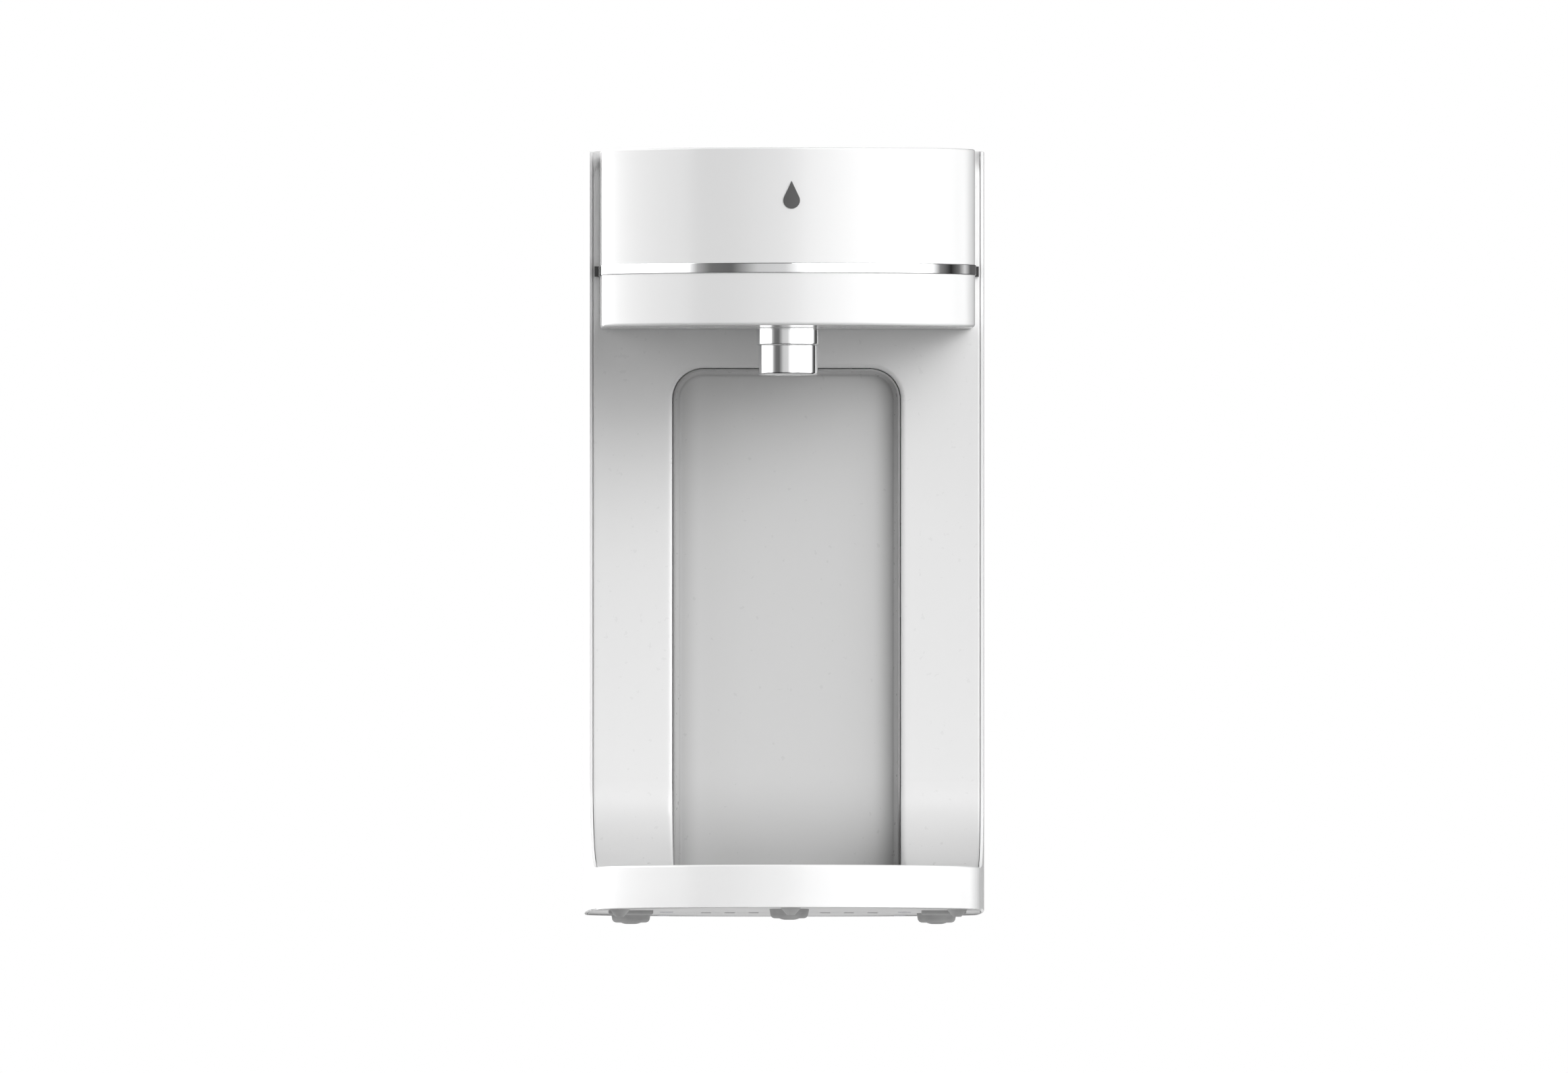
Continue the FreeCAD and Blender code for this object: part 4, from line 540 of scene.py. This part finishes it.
def centre_of(node):
    """The middle of a node in plan."""
    low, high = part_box(node)
    return (low.x + high.x) / 2, (low.y + high.y) / 2


def thermometer_outlines(x, y, size):
    bulb = arc(x, y - size, 0.5 * size, 110, 430)
    return [bulb, bar(x, y + 0.45 * size, 0.16 * size, size)]


def volume_outlines(x, y, size):
    """Three bars, each taller than the one before it."""
    outlines = []
    for step in range(3):
        middle_x, middle_y = x + (step - 1) * 0.9 * size, y + (step - 1) * 0.25 * size
        outlines.append(bar(middle_x, middle_y, 0.25 * size, (0.6 + 0.25 * step) * size))
    return outlines


def lock_outlines(x, y, size):
    shackle_y = y + 0.3 * size
    outer = arc(x, shackle_y, 0.55 * size, 0, 180)
    inner = arc(x, shackle_y, 0.33 * size, 180, 0)
    return [bar(x, y - 0.45 * size, 0.8 * size, 0.65 * size), outer + inner]


def print_on(name, node, outlines, ink, body):
    """A thin print that stands just proud of the top of a node."""
    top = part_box(node)[1].z
    mesh = flat_mesh(name, outlines, top - 0.02 * MM, 0.06 * MM)
    new_piece(name, mesh, ink, body)


def make_button_prints(finishes):
    """Printed signs on the four buttons: drop, thermometer, bars and lock."""
    size = 3.2 * MM
    signs = {
        "dispense_button": [drop_outline(*centre_of("dispense_button"), 3 * size)],
        "temperature_button": thermometer_outlines(*centre_of("temperature_button"), size),
        "volume_button": volume_outlines(*centre_of("volume_button"), size),
        "lock_button": lock_outlines(*centre_of("lock_button"), size),
    }
    ink = finishes["print_grey"]
    for button, outlines in signs.items():
        print_on(f"{button}_sign", button, outlines, ink, button)


# Each segment of a digit, as (middle x, middle y, lies flat), in half heights of the digit.
SEGMENTS = {
    "a": (0.0, 1.0, True),
    "b": (0.5, 0.5, False),
    "c": (0.5, -0.5, False),
    "d": (0.0, -1.0, True),
    "e": (-0.5, -0.5, False),
    "f": (-0.5, 0.5, False),
    "g": (0.0, 0.0, True),
}
DIGITS = {"8": "abcdefg", "5": "acdfg"}


def make_display_digits(finishes):
    """Temperature in seven-segment digits and a degree ring, just proud of the smoked window."""
    x, y = centre_of("display_window")
    half_high = 5.5 * MM
    half_wide, half_long = 0.09 * half_high, 0.38 * half_high
    first, pitch = x - 1.5 * half_high, 1.7 * half_high
    outlines = []
    for column, digit in enumerate("85"):
        for segment in DIGITS[digit]:
            right, up, flat = SEGMENTS[segment]
            halves = (half_long, half_wide) if flat else (half_wide, half_long)
            middle = first + column * pitch + right * half_high
            outlines.append(bar(middle, y + up * half_high, *halves))
    degree_x, degree_y = x + 1.55 * half_high, y + 0.8 * half_high
    outlines.append(arc(degree_x, degree_y, 0.26 * half_high, 0, 360, 20)[:-1])
    light = finishes["light_blue"]
    print_on("display_digits", "display_window", outlines, light, "casing")


def wire_mesh(name, points, radius):
    """A round wire along points, as a smooth mesh."""
    curve = bpy.data.curves.new(name, "CURVE")
    curve.dimensions = "3D"
    curve.bevel_depth = radius
    curve.bevel_resolution = 4
    spline = curve.splines.new("POLY")
    spline.points.add(len(points) - 1)
    for point, place in zip(spline.points, points):
        point.co = (*place, 1)
    holder = bpy.data.objects.new(name, curve)
    bpy.context.scene.collection.objects.link(holder)
    mesh = bpy.data.meshes.new_from_object(holder)
    bpy.data.objects.remove(holder)
    mesh.materials.clear()
    for face in mesh.polygons:
        face.use_smooth = True
    return mesh


SPRING_TURNS = 5
SPRING_STEPS = 24


def make_spring(finishes):
    """Wound valve spring in place of the CAD node's plain rings."""
    low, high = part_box("valve_spring")
    wire = 0.45 * MM
    radius = (high.x - low.x) / 2 - wire
    length = high.z - low.z - 2 * wire
    x, y = centre_of("valve_spring")
    points = []
    for step in range(SPRING_TURNS * SPRING_STEPS + 1):
        turned = step / SPRING_STEPS
        angle = 2 * math.pi * turned
        z = low.z + wire + length * turned / SPRING_TURNS
        points.append((x + radius * math.cos(angle), y + radius * math.sin(angle), z))
    mesh = wire_mesh("valve_spring_wire", points, wire)
    steel = finishes["spring_steel"]
    spring = new_piece("valve_spring_coil", mesh, steel, "water_tank")
    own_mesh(spring)
    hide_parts("valve_spring")


def make_details(finishes):
    make_button_prints(finishes)
    make_display_digits(finishes)
    make_spring(finishes)


# ---------------------------------------------------------------- studio
def azimuth_of(sky, x, y):
    """Degrees to the right of the front, from 0 at -180 to 1 at 180."""
    ahead = sky.add("ShaderNodeMath", operation="MULTIPLY")
    ahead.inputs[1].default_value = -1.0
    sky.link(y, ahead, 0)
    azimuth = sky.add("ShaderNodeMath", operation="ARCTAN2")
    sky.link(x, azimuth, 0)
    sky.link(ahead.outputs[0], azimuth, 1)
    return sky.stretched(azimuth.outputs[0], -math.pi, math.pi)


def levels_round(sky, azimuth, levels):
    """Light level as a curve over the azimuth."""
    ramp = sky.add("ShaderNodeValToRGB")
    elements = ramp.color_ramp.elements
    for degrees, level in levels[1:-1]:
        elements.new((degrees + 180) / 360).color = grey(level / BRIGHTEST)
    elements[0].color = grey(levels[0][1] / BRIGHTEST)
    elements[-1].color = grey(levels[-1][1] / BRIGHTEST)
    sky.link(azimuth, ramp, "Fac")
    return ramp.outputs["Color"]


def strength_by_height(sky, z):
    """Strength of the softboxes as a curve over the sine of the elevation."""
    height = sky.add("ShaderNodeFloatCurve")
    curve = height.mapping.curves[0]
    for place, factor in HEIGHTS[1:-1]:
        curve.points.new((place + 1) / 2, factor / BRIGHTEST)
    curve.points[0].location = (0, HEIGHTS[0][1] / BRIGHTEST)
    curve.points[-1].location = (1, HEIGHTS[-1][1] / BRIGHTEST)
    height.mapping.update()
    sky.link(sky.stretched(z, -1.0, 1.0), height, "Value")
    strength = sky.add("ShaderNodeMath", operation="MULTIPLY")
    # Multiplied back twice: for these factors, and for the levels that the strength goes with.
    strength.inputs[1].default_value = BRIGHTEST * BRIGHTEST
    sky.link(height.outputs[0], strength, 0)
    return strength.outputs[0]


def either_shader(tree, factor, first, second):
    """The first shader where the factor is 0, the second where it is 1."""
    mix = tree.add("ShaderNodeMixShader")
    tree.link(factor, mix, 0)
    tree.link(first.outputs[0], mix, 1)
    tree.link(second.outputs[0], mix, 2)
    return mix


def make_world():
    """Softboxes on both sides, brightest halfway up, a lit horizon, and a white backdrop."""
    world = bpy.data.worlds.new("studio")
    bpy.context.scene.world = world
    world.use_nodes = True
    world.node_tree.nodes.clear()
    sky = NodeTree(world.node_tree)
    direction = sky.add("ShaderNodeSeparateXYZ")
    sky.link(sky.add("ShaderNodeTexCoord").outputs["Generated"], direction, 0)
    x, y, z = direction.outputs
    azimuth = azimuth_of(sky, x, y)

    softboxes = sky.add("ShaderNodeBackground")
    sky.link(levels_round(sky, azimuth, SOFTBOXES), softboxes, "Color")
    sky.link(strength_by_height(sky, z), softboxes, "Strength")
    horizon = sky.add("ShaderNodeBackground")
    horizon.inputs["Strength"].default_value = BRIGHTEST
    sky.link(levels_round(sky, azimuth, HORIZON), horizon, "Color")
    off_level = sky.size_of(z)
    leaving = sky.stretched(off_level, HORIZON_BAND, 2 * HORIZON_BAND, curve="SMOOTHSTEP")
    room = either_shader(sky, leaving, horizon, softboxes)

    backdrop = sky.add("ShaderNodeBackground")
    backdrop.inputs["Color"].default_value = grey(1.0)
    seen = sky.add("ShaderNodeLightPath").outputs["Is Camera Ray"]
    whole = either_shader(sky, seen, room, backdrop)
    sky.link(whole.outputs[0], sky.add("ShaderNodeOutputWorld"), "Surface")


def make_floor():
    """Round pale light table: glows under the object, and can be seen through from below."""
    rim = [(x, y, 0) for x, y in arc(0, 0, FLOOR_RADIUS, 0, 360, 96)[:-1]]
    mesh = bpy.data.meshes.new("floor")
    mesh.from_pydata(rim, [], [tuple(range(len(rim)))])
    floor = bpy.data.objects.new("floor", mesh)
    bpy.context.scene.collection.objects.link(floor)
    finish = Finish("floor_acrylic", grey(FLOOR_GREY), 0.6, Emission_Color=grey(1.0))
    footprint = finish.add("ShaderNodeMapping")
    footprint.inputs["Scale"].default_value = (1 / GLOW_HALF_SIZE[0], 1 / GLOW_HALF_SIZE[1], 1)
    finish.link(finish.place, footprint, "Vector")
    inwards = finish.add("ShaderNodeTexGradient", gradient_type="SPHERICAL")
    finish.link(footprint.outputs["Vector"], inwards, "Vector")
    glow_level = finish.stretched(inwards.outputs["Fac"], 0.0, GLOW_FADE, 0.0, FLOOR_GLOW)
    finish.link(glow_level, finish.shader, "Emission Strength")
    below = finish.add("ShaderNodeNewGeometry").outputs["Backfacing"]
    clear = finish.add("ShaderNodeBsdfTransparent")
    table = either_shader(finish, below, finish.shader, clear)
    finish.link(table.outputs[0], finish.tree.nodes["Material Output"], "Surface")
    mesh.materials.append(finish.material)


def make_camera():
    """Level with the object and square to it, as seen through a long lens."""
    camera = bpy.data.objects.new("camera", bpy.data.cameras.new("camera"))
    bpy.context.scene.collection.objects.link(camera)
    azimuth, elevation = math.radians(VIEW_AZIMUTH), math.radians(VIEW_ELEVATION)
    back = Vector((
        math.sin(azimuth) * math.cos(elevation),
        -math.cos(azimuth) * math.cos(elevation),
        math.sin(elevation),
    ))
    camera.location = VIEW_TARGET + back * VIEW_DISTANCE
    camera.rotation_mode = "QUATERNION"
    camera.rotation_quaternion = (-back).to_track_quat("-Z", "Y")
    camera.data.type = "ORTHO"
    camera.data.ortho_scale = VIEW_WIDTH
    camera.data.clip_end = 20.0
    bpy.context.scene.camera = camera


def make_studio():
    make_world()
    make_floor()
    make_camera()
    bpy.context.scene.view_settings.view_transform = "Standard"
    bpy.context.scene.view_settings.look = "None"


# ---------------------------------------------------------------- build
make_studio()
materials = make_finishes()
paint_nodes(materials)
make_details(materials)
